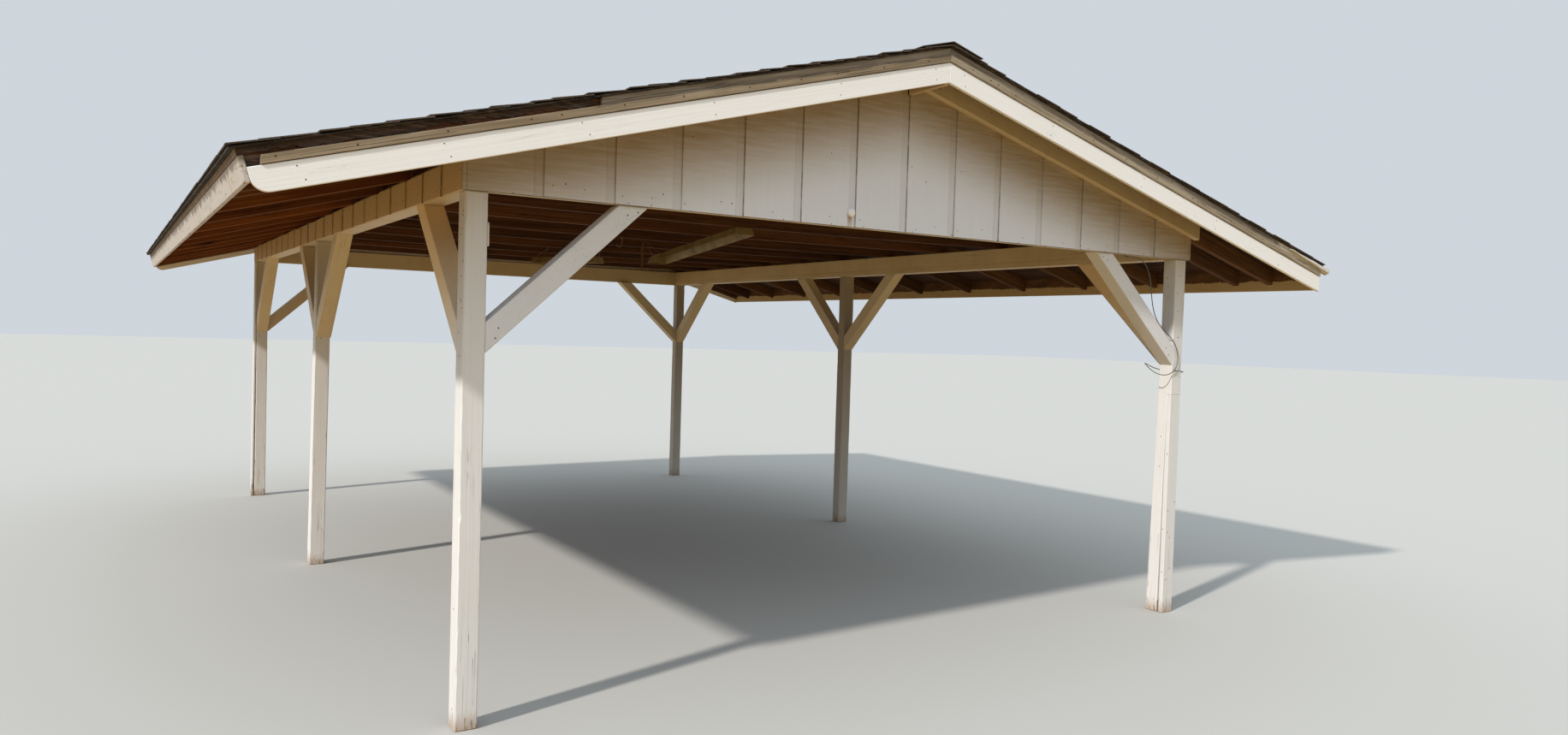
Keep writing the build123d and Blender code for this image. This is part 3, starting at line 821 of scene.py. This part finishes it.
# Loop cable: its route, in metres across from the post's inner face, along
# from its front face and up from the foot of the braces
cable_diameter = 0.005
cable_route = [
    (-0.428, 0.026, 0.625), (-0.407, 0.027, 0.615), (-0.368, 0.029, 0.613), (-0.312, 0.033, 0.615),
    (-0.256, 0.037, 0.606), (-0.206, 0.043, 0.573), (-0.174, 0.047, 0.525), (-0.154, 0.051, 0.470),
    (-0.141, 0.054, 0.414), (-0.131, 0.054, 0.358), (-0.116, 0.050, 0.303), (-0.094, 0.041, 0.253),
    (-0.066, 0.024, 0.212), (-0.036, 0.003, 0.177), (-0.006, -0.010, 0.141), (0.020, -0.011, 0.102),
    (0.037, -0.010, 0.057), (0.038, -0.010, 0.012), (0.018, -0.010, -0.026), (-0.020, -0.008, -0.050),
    (-0.064, 0.002, -0.061), (-0.106, 0.022, -0.052), (-0.133, 0.050, -0.026), (-0.130, 0.086, 0.002),
    (-0.102, 0.116, 0.009), (-0.058, 0.124, -0.004), (-0.010, 0.121, -0.020), (0.042, 0.119, -0.031),
    (0.088, 0.113, -0.037), (0.111, 0.082, -0.040), (0.114, 0.042, -0.041), (0.107, 0.001, -0.040),
    (0.075, -0.019, -0.037), (0.052, -0.022, -0.035), (0.034, -0.020, -0.033), (0.024, -0.010, -0.032),
    (0.024, 0.000, -0.032),
]


def cable_jacket(name):
    """Grey plastic jacket, chalky with age, with paint smears and dust."""
    f = Finish(name, specular=0.35)
    cloud = f.noise(f.where(), 14.0, 5.0, 0.65)
    fine = f.noise(f.where(), 160.0, 4.0, 0.6)
    colour = f.mix(f.step(cloud, 0.35, 0.65), (0.085, 0.080, 0.074), (0.17, 0.165, 0.15))
    f.colour(f.mix(f.step(fine, 0.60, 0.75, 0.0, 0.35), colour, (0.42, 0.40, 0.37)))
    f.rough(f.step(fine, 0.3, 0.7, 0.45, 0.75))
    f.normal(f.bump(fine, 0.0003, 0.4))
    return f.material


def loop_cable():
    """Cable from the header down round the front right post, with its end in the post."""
    points = [
        (right_post_face + across, frame_front + along, brace_foot + up) for across, along, up in cable_route
    ]
    line = round_wire("loop_cable", points, cable_diameter / 2, 3, 8)
    line.use_fill_caps = True
    cable = enter(line, cable_jacket("cable_jacket"), "cable_jacket", "post_cable")


loop_cable()

# Finishes of this carport
groove_count = 14
groove_pitch = 2 * half_width / groove_count
groove_shift = groove_width / 2
gable_grooves = (0, frame_left - groove_shift - groove_pitch / 2, groove_pitch)
side_grooves = (1, frame_front - groove_shift - groove_pitch / 2, groove_pitch)
knob_x, knob_z = -0.382, 2.170
fascia_seams = (-3.238, -1.865)
inner_paint_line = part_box("fascia_right")[0].z + 0.062
# Outward faces past this are darkened as painted shade of the recess under the shingles
shade_out_from = -deck_front - 0.0012

post_wear = dict(foot=0.16, checks=0.8)
# A slightly cool white standing for sky-lit shade; its tops browner as painted shade
post_paint = old_paint(
    "post_paint", paint=(0.80, 0.80, 0.815), dust=0.06, top_shade=0.16, top_shade_from=1.2, **post_wear
)
# Lighter post paint with browner tops painted as shade, for the middle and back left posts
shaded_post_paint = old_paint(
    "shaded_post_paint", paint=(0.84, 0.84, 0.85), dust=0.06, top_shade=0.50, top_shade_from=1.3, **post_wear
)
# Darker copy of the post paint with browner tops: painted shade on the middle and back right posts
dull_post_paint = old_paint("dull_post_paint", paint=(0.55, 0.535, 0.515), dust=0.10, top_shade=0.62, **post_wear)
# Cool white standing for sky-lit shade, tan behind the front as painted shade
brace_paint = old_paint(
    "brace_paint", paint=(0.77, 0.78, 0.82), dust=0.10, peel=0.04,
    shade_behind=-frame_front - post_side - 0.001,
)
# Tan copy of the brace paint: painted shade on the braces under the roof
shaded_inner_brace_paint = old_paint("shaded_inner_brace_paint", paint=(0.76, 0.66, 0.51), dust=0.20, peel=0.04)
# Yellowed paint, its tan partly painted shade of the beams under the roof
beam_paint = old_paint("beam_paint", paint=(0.70, 0.585, 0.40), dust=0.45, peel=0.05)
rake_paint = old_paint("rake_paint", paint=(0.95, 0.945, 0.95), dust=0.03, peel=0.02, checks=0.2, brush=0.03)
fascia_paint = old_paint(
    "fascia_paint", paint=(0.57, 0.52, 0.485), dust=0.22, peel=0.20, grime=0.85, seams=fascia_seams,
)
# Blue-grey white standing for sky-lit shade, and tan painted as shade close under the roof
gable_wear_and_shade = dict(
    paint=(0.80, 0.83, 0.91), dust=0.02, peel=0.02, painted_roof_shade=0.9, grooves=gable_grooves, checks=0.0,
    brush=0.03, raw_edge=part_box("gable_siding_front")[0].z,
)
front_gable_paint = old_paint("front_gable_paint", rust_at=(knob_x, knob_z), **gable_wear_and_shade)
back_gable_paint = old_paint("back_gable_paint", **gable_wear_and_shade)
# Dusty paint, its tan partly painted shade under the eaves
frieze_paint = old_paint(
    "frieze_paint", paint=(0.64, 0.44, 0.19), dust=0.30, peel=0.03, grooves=side_grooves, checks=0.0,
)
# Tan standing for white paint in shade: painted shade on the fascia's inner face
inner_fascia_paint = half_painted(
    "inner_fascia_paint", (0.62, 0.475, 0.28), (0.10, 0.050, 0.022), inner_paint_line
)
# Lit and shaded copies of the rafter wood: the left more orange, painting in the warm light on the left eave,
# the right darker as painted shade
lit_left_rafter_wood = bare_wood(
    "lit_left_rafter_wood", (0.12, 0.034, 0.009), (0.26, 0.092, 0.022), shade_out_from=shade_out_from
)
shaded_right_rafter_wood = bare_wood(
    "shaded_right_rafter_wood", (0.080, 0.036, 0.015), (0.175, 0.085, 0.036), shade_out_from=shade_out_from
)
ridge_wood = bare_wood("ridge_wood", (0.08, 0.036, 0.015), (0.175, 0.085, 0.036), painted_beyond=-sheet_face)
joist_wood = bare_wood("joist_wood", (0.072, 0.029, 0.012), (0.155, 0.064, 0.026))
# Deck boards likewise: the left copy orange for the warm light, the right copy darker as painted shade
lit_left_deck_wood = bare_wood(
    "lit_left_deck_wood", (0.135, 0.034, 0.007), (0.25, 0.074, 0.015), stain=0.45, shade_out_from=shade_out_from,
    eave_face=reach[LEFT] + rafter_depth * slope_fall - 0.001,
)
shaded_right_deck_wood = bare_wood(
    "shaded_right_deck_wood", (0.040, 0.016, 0.007), (0.078, 0.032, 0.014), stain=0.45, shade_out_from=shade_out_from
)
trim_wood = bare_wood(
    "trim_wood", (0.22, 0.165, 0.115), (0.37, 0.30, 0.22), silver=0.5, pale_from=reach[RIGHT] - 0.40
)
# Darker copy of the lath wood for the left slope: painted shade against the lamp's light there
shaded_left_lath_wood = bare_wood("shaded_left_lath_wood", (0.14, 0.095, 0.055), (0.36, 0.285, 0.195), silver=0.15)
right_lath_wood = bare_wood("right_lath_wood", (0.36, 0.275, 0.18), (0.62, 0.53, 0.40), silver=0.3)
peeled_wood = bare_wood("peeled_wood", (0.74, 0.69, 0.62), (0.94, 0.92, 0.88))
strap_wood = bare_wood("strap_wood", (0.085, 0.042, 0.022), (0.19, 0.10, 0.055))
granules = shingle_granules("shingle_granules")
felt = roofing_felt("felt", (0.020, 0.016, 0.013), (0.052, 0.041, 0.032), (0.085, 0.062, 0.043))
brown_felt = roofing_felt("brown_felt", (0.040, 0.026, 0.018), (0.085, 0.056, 0.039), (0.115, 0.075, 0.052))
enamel = yellowed_enamel("light_enamel")
wire_rust = rusty_metal("wire_rust", steel=(0.30, 0.24, 0.19), rust=(0.25, 0.12, 0.06))
nail_rust = rusty_metal("nail_rust", steel=(0.12, 0.07, 0.045), rust=(0.095, 0.045, 0.024), share=0.9)

# Timbers, boards and lights
post_paints = {
    "front_left": post_paint, "front_right": post_paint, "middle_left": shaded_post_paint,
    "middle_right": dull_post_paint, "back_left": shaded_post_paint, "back_right": dull_post_paint,
}
for spot, paint in post_paints.items():
    dressed(f"post_{spot}", f"timber_{spot}", paint, 0.004, worn=0.0028)
    paint = brace_paint if "front" in spot else shaded_inner_brace_paint
    dressed(f"braces_{spot}", f"knee_braces_{spot}", paint, worn=0.0012)
for spot in ("front_right", "back_left"):
    dressed(f"post_board_{spot}", f"cover_board_{spot}", post_paint, worn=0.002)
for hand, rafter_wood, lath_wood in (
    ("left", lit_left_rafter_wood, shaded_left_lath_wood),
    ("right", shaded_right_rafter_wood, right_lath_wood),
):
    dressed(f"plate_{hand}", f"top_plate_{hand}", beam_paint, worn=0.0012)
    dressed(f"rail_{hand}", f"side_rail_{hand}", beam_paint, worn=0.0012)
    dressed(f"side_frieze_{hand}", f"side_sheet_{hand}", frieze_paint, 0.0012, upright)
    dressed(f"gable_frieze_{hand}", f"frieze_rafters_{hand}", beam_paint, worn=0.001)
    dressed(f"rafters_{hand}", f"rafter_row_{hand}", rafter_wood, slot="raw_wood")
    dressed(f"rake_board_{hand}", f"rake_face_{hand}", rake_paint, 0.002)
    thin_lath(hand, lath_wood)
    dressed(f"rake_trim_{hand}", f"rake_edge_{hand}", trim_wood, 0.002, worn=0.0015, slot="weathered_wood")
dressed("fascia_left", "eave_board_left", fascia_paint, worn=0.0025)
dressed("fascia_right", "eave_board_right", inner_fascia_paint, worn=0.0015)
for end in ("front", "back"):
    dressed(f"header_{end}", f"header_beam_{end}", beam_paint)
for end, paint in (("front", front_gable_paint), ("back", back_gable_paint)):
    dressed(f"gable_siding_{end}", f"gable_sheet_{end}", paint, 0.0015, upright)
dressed("ceiling_joists", "joist_row", joist_wood, slot="dark_wood")
dressed("ridge_board", "ridge_timber", ridge_wood, slot="raw_wood")
dressed("joist_strip", "nailed_lath", strap_wood, 0.0015, slot="raw_wood")
for length in ("long", "short"):
    dressed(f"light_{length}", f"trough_{length}", enamel, 0.0006, slot="light_enamel")
dressed("light_wires", "wire_vees", wire_rust, 0, slot="hanger_wire")

# Nails and small fixings
nail_radius = 0.0042
small_nail_radius = 0.0032
large_nail_radius = 0.0048
nail_depth = 0.0018
nail_rim = 0.62


def nail(bm, spot, out, radius=nail_radius):
    """A nail's head, low and chamfered, driven into a face that looks along out."""
    place = Vector(out).to_track_quat("Z", "Y").to_matrix().to_4x4()
    place.translation = Vector(spot)
    bmesh.ops.create_cone(
        bm, cap_ends=True, segments=8, radius1=radius, radius2=radius * nail_rim, depth=nail_depth,
        matrix=place,
    )


def on_slope(side, down, square, y):
    """Point at distance down the slope from the apex and square above the rafters' undersides."""
    return roof_place(side) @ Vector((-side * y, down, square))


def post_nails(bm, rng):
    """Nails up the outer and front faces of each post, at the beams and at the braces."""
    heights = (0.06, 0.45, brace_foot - 0.006, brace_foot + 0.107, brace_foot + 0.196, 1.755, 1.911, 2.045)
    for node in (n for n in nodes if n.startswith("post_") and "board" not in n and "cable" not in n):
        low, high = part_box(node)
        left = "left" in node
        for height in heights:
            y = low.y + rng.uniform(0.018, 0.07)
            foot_lean = (high.x - low.x - post_side) * (1 - height / header_height)
            face = high.x - post_side - foot_lean if left else high.x
            nail(bm, (face, y, height + rng.uniform(-0.03, 0.03)), (-1 if left else 1, 0, 0))
            if rng.random() < 0.25:
                x = low.x + rng.uniform(0.02, 0.065)
                nail(bm, (x, low.y, height + rng.uniform(-0.05, 0.05)), (0, -1, 0))


def stray_nails(bm):
    """Single nails where they show, on the front posts, the board on one of them and the front sheet."""
    for along, up in ((0.027, 2.010), (0.034, 1.958), (0.013, 1.832), (0.025, 1.677), (0.012, 1.651)):
        nail(bm, (post_lo.x, frame_front + along, up), (-1, 0, 0))
    for along, up in (
        (0.059, 1.049), (0.057, 0.870), (0.009, 0.950), (0.0185, 0.500), (0.011, 0.245),
        (0.050, 1.943), (0.047, 1.877), (0.059, 1.994),
    ):
        nail(bm, (right_post_face, frame_front + along, up), (-1, 0, 0))
    for across, up in (
        (0.018, 0.610), (0.042, 0.450), (0.055, 0.265), (0.021, 0.200), (0.076, 0.660),
        (0.033, 2.005), (0.024, 1.903),
    ):
        nail(bm, (right_post_face + across, frame_front, up), (0, -1, 0))
    for x, z in (
        (-1.790, 2.163), (-1.358, 2.163), (-1.025, 2.154), (0.065, 2.358),
        (2.048, 2.207), (2.067, 2.148), (2.011, 2.169),
    ):
        nail(bm, (x, sheet_face, z), (0, -1, 0))


def sheet_nails(bm, rng):
    """Rows of nails along the lower edge of each sheet, and some higher up."""
    for facing in (-1, 1):
        x = frame_left + 0.03
        while x < frame_right:
            for low, high, chance in ((0.0, 0.012, 0.55), (0.018, 0.055, 0.75), (0.30, 0.34, 0.25)):
                z = header_height + rng.uniform(low, high)
                if rng.random() < chance and z < underside(abs(x - ridge_x)):
                    spot = (x + rng.uniform(-0.04, 0.04), -facing * sheet_face, z)
                    nail(bm, spot, (0, facing, 0), small_nail_radius)
            x += groove_pitch / 2
    for side, corner in ((LEFT, frame_left), (RIGHT, frame_right)):
        y = frame_front + 0.05
        while y < frame_back:
            along, up = y + rng.uniform(-0.04, 0.04), header_height + rng.uniform(0.01, 0.11)
            nail(bm, (corner + side * sheet_thick, along, up), (side, 0, 0))
            y += groove_pitch / 2


def roof_edge_nails(bm, rng):
    """Nails in the laths, in the rake boards under them, and in the frieze rafters."""
    lath_level = 0.0685
    for side in hand_of:
        end = reach[side] / slope_run
        for facing in (-1, 1):
            out = (0, facing, 0)
            down = 0.12
            while down < end - 0.08:
                spot = on_slope(side, down, lath_level + rng.uniform(-0.001, 0.003), -facing * lath_face)
                nail(bm, spot, out, large_nail_radius)
                down += rng.choice((0.05, 0.12, 0.19, 0.26, 0.31))
            down = 0.09
            while down < end - 0.05:
                for square in (-0.018, 0.030):
                    spot = on_slope(side, down + rng.uniform(-0.02, 0.02), square, -facing * rake_face)
                    nail(bm, spot, out, small_nail_radius)
                down += rng.uniform(0.5, 0.7)
            down = 0.15
            while down < (half_width - 0.1) / slope_run:
                nail(bm, on_slope(side, down, rng.uniform(0.02, 0.07), -facing * frieze_face), out)
                down += rng.uniform(0.15, 0.42)


def eave_nails(bm, rng):
    """Pairs of nails in the left eave board, one pair at each rafter's tail."""
    down = reach[LEFT] / slope_run
    out = (-slope_run, 0, -slope_fall)
    for y in rafter_ys:
        for square in (0.020, 0.070):
            spot = on_slope(LEFT, down, square + rng.uniform(-0.008, 0.008), y + rng.uniform(-0.01, 0.01))
            nail(bm, spot, out)


def brace_nails(bm, rng):
    """Two nails through the foot and two through the head of each front and back brace."""
    for node in ("braces_front_left", "braces_front_right", "braces_back_left", "braces_back_right"):
        low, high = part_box(node)
        toward_middle = 1 if "left" in node else -1
        facing = -1 if "front" in node else 1
        face = low.y if facing < 0 else high.y
        foot_x = frame_left + post_side if toward_middle > 0 else frame_right - post_side
        for across, up in ((0.035, 0.06), (0.055, 0.10), (0.585, 0.585), (0.63, 0.60)):
            spot = (foot_x + toward_middle * (across + rng.uniform(-0.006, 0.006)), face, brace_foot + up)
            nail(bm, spot, (0, facing, 0))


def nail_heads():
    """The heads of all nails, as one piece."""
    rng = random.Random("nails")
    bm = bmesh.new()
    post_nails(bm, rng)
    stray_nails(bm)
    sheet_nails(bm, rng)
    roof_edge_nails(bm, rng)
    eave_nails(bm, rng)
    brace_nails(bm, rng)
    finished(bm, "nail_heads", nail_rust, "hanger_wire")


def sheet_knob():
    """Round knob nailed to the front sheet, painted over and rusting at its edge."""
    deep = 0.012
    bm = bmesh.new()
    middle = Matrix.Translation((knob_x, sheet_face - deep / 2, knob_z))
    bmesh.ops.create_cone(
        bm, cap_ends=True, segments=28, radius1=0.021, radius2=0.017, depth=deep,
        matrix=middle @ Matrix.Rotation(radians(90), 4, "X"),
    )
    rim = [e for e in bm.edges if all(v.co.y < sheet_face - 0.01 for v in e.verts)]
    bevel(bm, rim, 0.004, 3)
    mark_grain(bm, "knob")
    finished(bm, "sheet_knob", rake_paint, "painted_wood")


def torn_felt():
    """Ragged felt hanging over the boards' ends where the left edge trim has broken off."""
    longest = 0.030
    bm = bmesh.new()
    start, end = broken_trim / slope_run + 0.003, reach[LEFT] / slope_run - 0.002
    for vert in bmesh.ops.create_grid(bm, x_segments=90, y_segments=2, size=1)["verts"]:
        share, hang = (vert.co.x + 1) / 2, (1 - vert.co.y) / 2
        ragged = 0.62 + 0.55 * ripple(share * 9, 0.3, 0) + 0.4 * ripple(share * 41, 2.3, 0)
        level = deck_level - hang * longest * min(max(ragged, 0.15), 1.0)
        vert.co = on_slope(LEFT, start + share * (end - start), level, deck_front - 0.002 - 0.003 * hang)
    bmesh.ops.solidify(bm, geom=bm.faces[:], thickness=0.0015)
    bmesh.ops.recalc_face_normals(bm, faces=bm.faces)
    finished(bm, "torn_felt_edge", brown_felt, "shingle")


def peeled_end():
    """Thin pale sliver split from the lower end of the right edge trim."""
    bottom, top, proud = 0.086, 0.110, 0.0215
    bm = bmesh.new()
    place = roof_place(RIGHT)
    start, end = (reach[RIGHT] - 0.36) / slope_run, (reach[RIGHT] + 0.040) / slope_run
    block(bm, (-rake_face, start, bottom), (proud - rake_face, end, top), place)
    lengthwise = [e for e in bm.edges if e.calc_length() > 0.3]
    bmesh.ops.subdivide_edges(bm, edges=lengthwise, cuts=12)
    for vert in bm.verts:
        spot = place.inverted() @ vert.co
        share = (spot.y - start) / (end - start)
        middle = 0.101 - 0.004 * share + 0.003 * ripple(share * 6, 0, 0)
        spot.z = middle + (spot.z - (bottom + top) / 2) * (0.12 + 0.88 * share)
        vert.co = place @ spot
    soften(bm, 0.0008)
    mark_grain(bm, "peeled end")
    finished(bm, "peeled_trim_end", peeled_wood, "weathered_wood")


def post_cleat():
    """Thin strip nailed to the inner face of the front left post, under the header."""
    bm = bmesh.new()
    face = frame_left + post_side
    block(bm, (face, frame_front + 0.001, 1.894), (face + 0.007, frame_front + 0.040, 1.987))
    soften(bm, 0.0015)
    mark_grain(bm, "cleat")
    finished(bm, "post_cleat", post_paint, "painted_wood")


def joist_hook():
    """Wire hook on the fourth joist, beside the lights."""
    x, y = -0.600, joist_ys[3] - 0.003
    route = [(0, 2.168), (0.002, 2.145), (0.001, 2.122), (-0.008, 2.106), (-0.026, 2.106), (-0.034, 2.120)]
    line = round_wire("hook_line", [(x + across, y, up) for across, up in route], 0.002, 2, 6)
    shape = bpy.data.objects.new("hook_line", line)
    bm = bmesh.new()
    bm.from_mesh(shape.to_mesh())
    shape.to_mesh_clear()
    bpy.data.objects.remove(shape)
    bmesh.ops.remove_doubles(bm, verts=bm.verts, dist=merge_distance)
    bmesh.ops.recalc_face_normals(bm, faces=bm.faces)
    finished(bm, "joist_hook", wire_rust, "hanger_wire")


nail_heads()
sheet_knob()
torn_felt()
peeled_end()
post_cleat()
joist_hook()

# Roof boards
board_width = 0.184
board_gap = 0.003
board_joint = 0.0016
deck_woods = {LEFT: lit_left_deck_wood, RIGHT: shaded_right_deck_wood}


def roof_boards(side):
    """Square-edged boards along the roof, butted over the rafters."""
    rng = random.Random(f"boards {side}")
    bm = bmesh.new()
    place = roof_place(side)
    top = -deck_level * slope_ratio
    end = reach[side] / slope_run
    if side == RIGHT:
        end = (reach[side] - edge_board_thick - deck_level * slope_fall) / slope_run
    row = 0
    start = end
    while start > top + 0.02:
        above = max(start - board_width, top)
        joints = sorted(rng.sample(rafter_ys[1:-1], 2 if row % 3 else 1))
        stops = [deck_front] + joints + [-deck_front]
        for near, far in zip(stops, stops[1:]):
            low, high = sorted((-side * (near + board_joint / 2), -side * (far - board_joint / 2)))
            proud = rng.uniform(0.0, 0.0018)
            block(bm, (low, above, rafter_depth), (high, start, deck_level - proud), place)
        start = above - board_gap - rng.uniform(0, 0.002)
        row += 1
    soften(bm, 0.0012)
    mark_grain(bm, f"roof boards {side}")
    hand = hand_of[side]
    finished(bm, f"roof_boards_{hand}", deck_woods[side], "raw_wood", f"deck_{hand}")


for side in hand_of:
    roof_boards(side)

# Shingles
exposure = 0.127
tab_width = 0.305
tab_slot = 0.008
tab_reach = 0.165
tab_thick = 0.0045
tab_bed = roofing_level - 0.0085
tab_lift = {LEFT: 0.0012, RIGHT: 0.0006}
course_rise = {LEFT: 0.0036, RIGHT: 0.0016}
edge_shift = {LEFT: 0.034, RIGHT: 0.010}
ragged_courses = 15
cap_half = 0.15
cap_length = 0.20
cap_bottom, cap_top = 0.0014, 0.0048
cap_tilt = 0.0040
felt_top = deck_level + 0.006


def eave_end(side, level):
    """Slope distance at which the shingles end at the eave."""
    if side == LEFT:
        return reach[side] / slope_run + eave_drip
    return (reach[side] + eave_drip - level * slope_fall) / slope_run


def course_stops(rng, course):
    """Where one course's tabs end along the ridge, and which of those ends are slots."""
    offset = (course % 2) * tab_width / 2 + rng.uniform(-0.012, 0.012)
    near, far = roof_front + rng.uniform(0.0, 0.013), -roof_front - rng.uniform(0.0, 0.013)
    near_split, far_split = near + rng.uniform(0.025, 0.07), far - rng.uniform(0.025, 0.07)
    slots = []
    y = roof_front - tab_width + offset
    while y < far_split - 0.02:
        if y > near_split + 0.02:
            slots.append(y)
        y += tab_width
    return [near, near_split] + slots + [far_split, far], slots


def lay_tab(bm, rng, tone, side, low, high, butt, at_gable):
    """One tab, with its own tone, its butt raised and its lower corners a little curled."""
    head = max(butt - tab_reach, -roofing_level * slope_ratio)
    lift = abs(rng.gauss(0, tab_lift[side]))
    verts = block(bm, (low, head, -tab_thick), (high, butt, 0.0))
    shade = rng.random()
    curl = 0.0030 if at_gable and side == LEFT else 0.0008
    corner = {-1: rng.gauss(0, curl), 1: rng.gauss(0, curl)}
    for vert in verts:
        share = (vert.co.y - head) / max(butt - head, 0.001)
        edge = -1 if vert.co.x < (low + high) / 2 else 1
        rise = share * (tab_reach / exposure) * course_rise[side] + share * (lift + max(corner[edge], 0))
        limit = roofing_level + (0 if vert.co.z > -0.001 else -0.003)
        vert.co = Vector((-side * vert.co.x, vert.co.y, min(tab_bed + rise + vert.co.z, limit)))
        vert[tone] = shade
    bmesh.ops.transform(bm, matrix=roof_place(side), verts=verts)


def shingle_slope(side):
    """Courses of tabbed shingles from the eave up, ragged at the gables, and the felt under them."""
    rng = random.Random(f"shingles {side}")
    bm = bmesh.new()
    tone = bm.verts.layers.float.new("tone")
    course = 0
    start = eave_end(side, roofing_level)
    while start > 0.06:
        stops, slots = course_stops(rng, course)
        for near, far in zip(stops, stops[1:]):
            at_gable = near == stops[0] or far == stops[-1]
            low = near + (tab_slot / 2 if near in slots else 0)
            high = far - (tab_slot / 2 if far in slots else 0)
            butt = start - abs(rng.gauss(0, 0.0022))
            if at_gable and 0 < course < ragged_courses:
                butt += rng.uniform(-1, 1) * edge_shift[side]
            lay_tab(bm, rng, tone, side, low, high, butt, at_gable)
        start -= exposure
        course += 1
    bmesh.ops.recalc_face_normals(bm, faces=bm.faces)
    hand = hand_of[side]
    finished(bm, f"shingle_courses_{hand}", granules, "shingle", f"roofing_{hand}")
    felt_underlay(side, rng)


def felt_underlay(side, rng):
    """Felt between the boards and the shingles, a little frayed at the gables."""
    place = roof_place(side)
    bm = bmesh.new()
    end = eave_end(side, felt_top) - 0.006
    low, high = sorted((-side * (roof_front + 0.012), side * (roof_front + 0.012)))
    block(bm, (low, -felt_top * slope_ratio, deck_level), (high, end, felt_top), place)
    lengthwise = [e for e in bm.edges if abs(e.calc_length() - (high - low)) > 0.1 and e.calc_length() > 1]
    bmesh.ops.subdivide_edges(bm, edges=lengthwise, cuts=70)
    for vert in [v for v in bm.verts if abs(abs((place.inverted() @ v.co).x) - high) < 1e-4]:
        vert.co.y -= (1 if vert.co.y > 0 else -1) * abs(rng.gauss(0, 0.004))
    bmesh.ops.recalc_face_normals(bm, faces=bm.faces)
    hand = hand_of[side]
    finished(bm, f"felt_underlay_{hand}", felt, "shingle", f"roofing_{hand}")


def ridge_caps():
    """Pieces bent over the ridge, each lapping the next."""
    rng = random.Random("caps")
    bm = bmesh.new()
    tone = bm.verts.layers.float.new("tone")
    y = roof_front
    while y < -roof_front - 0.04:
        far = min(y + cap_length, -roof_front)
        shade = rng.random()
        skew = rng.gauss(0, 0.004) if y > roof_front and far < -roof_front else 0
        sheet = bmesh.ops.create_grid(bm, x_segments=2, y_segments=1, size=1)["verts"]
        faces = list({face for vert in sheet for face in vert.link_faces})
        upper = bmesh.ops.extrude_face_region(bm, geom=faces)["geom"]
        upper = [part for part in upper if isinstance(part, bmesh.types.BMVert)]
        for verts, lift in ((sheet, cap_bottom), (upper, cap_top)):
            for vert in verts:
                side = round(vert.co.x)
                share = (vert.co.y + 1) / 2
                along = y + share * (far - y)
                level = roofing_level + lift - share * (far - y) / cap_length * cap_tilt
                if side:
                    aside = cap_half * slope_run + level * slope_fall
                    z = underside(cap_half * slope_run) + level * slope_run
                    vert.co = Vector((ridge_x + side * aside, along + skew * side, z))
                else:
                    vert.co = Vector((ridge_x, along, apex + level / slope_run))
                vert[tone] = shade
        y += exposure
    bmesh.ops.recalc_face_normals(bm, faces=bm.faces)
    finished(bm, "ridge_shingles", granules, "shingle", "ridge_cap")


for side in hand_of:
    shingle_slope(side)
ridge_caps()
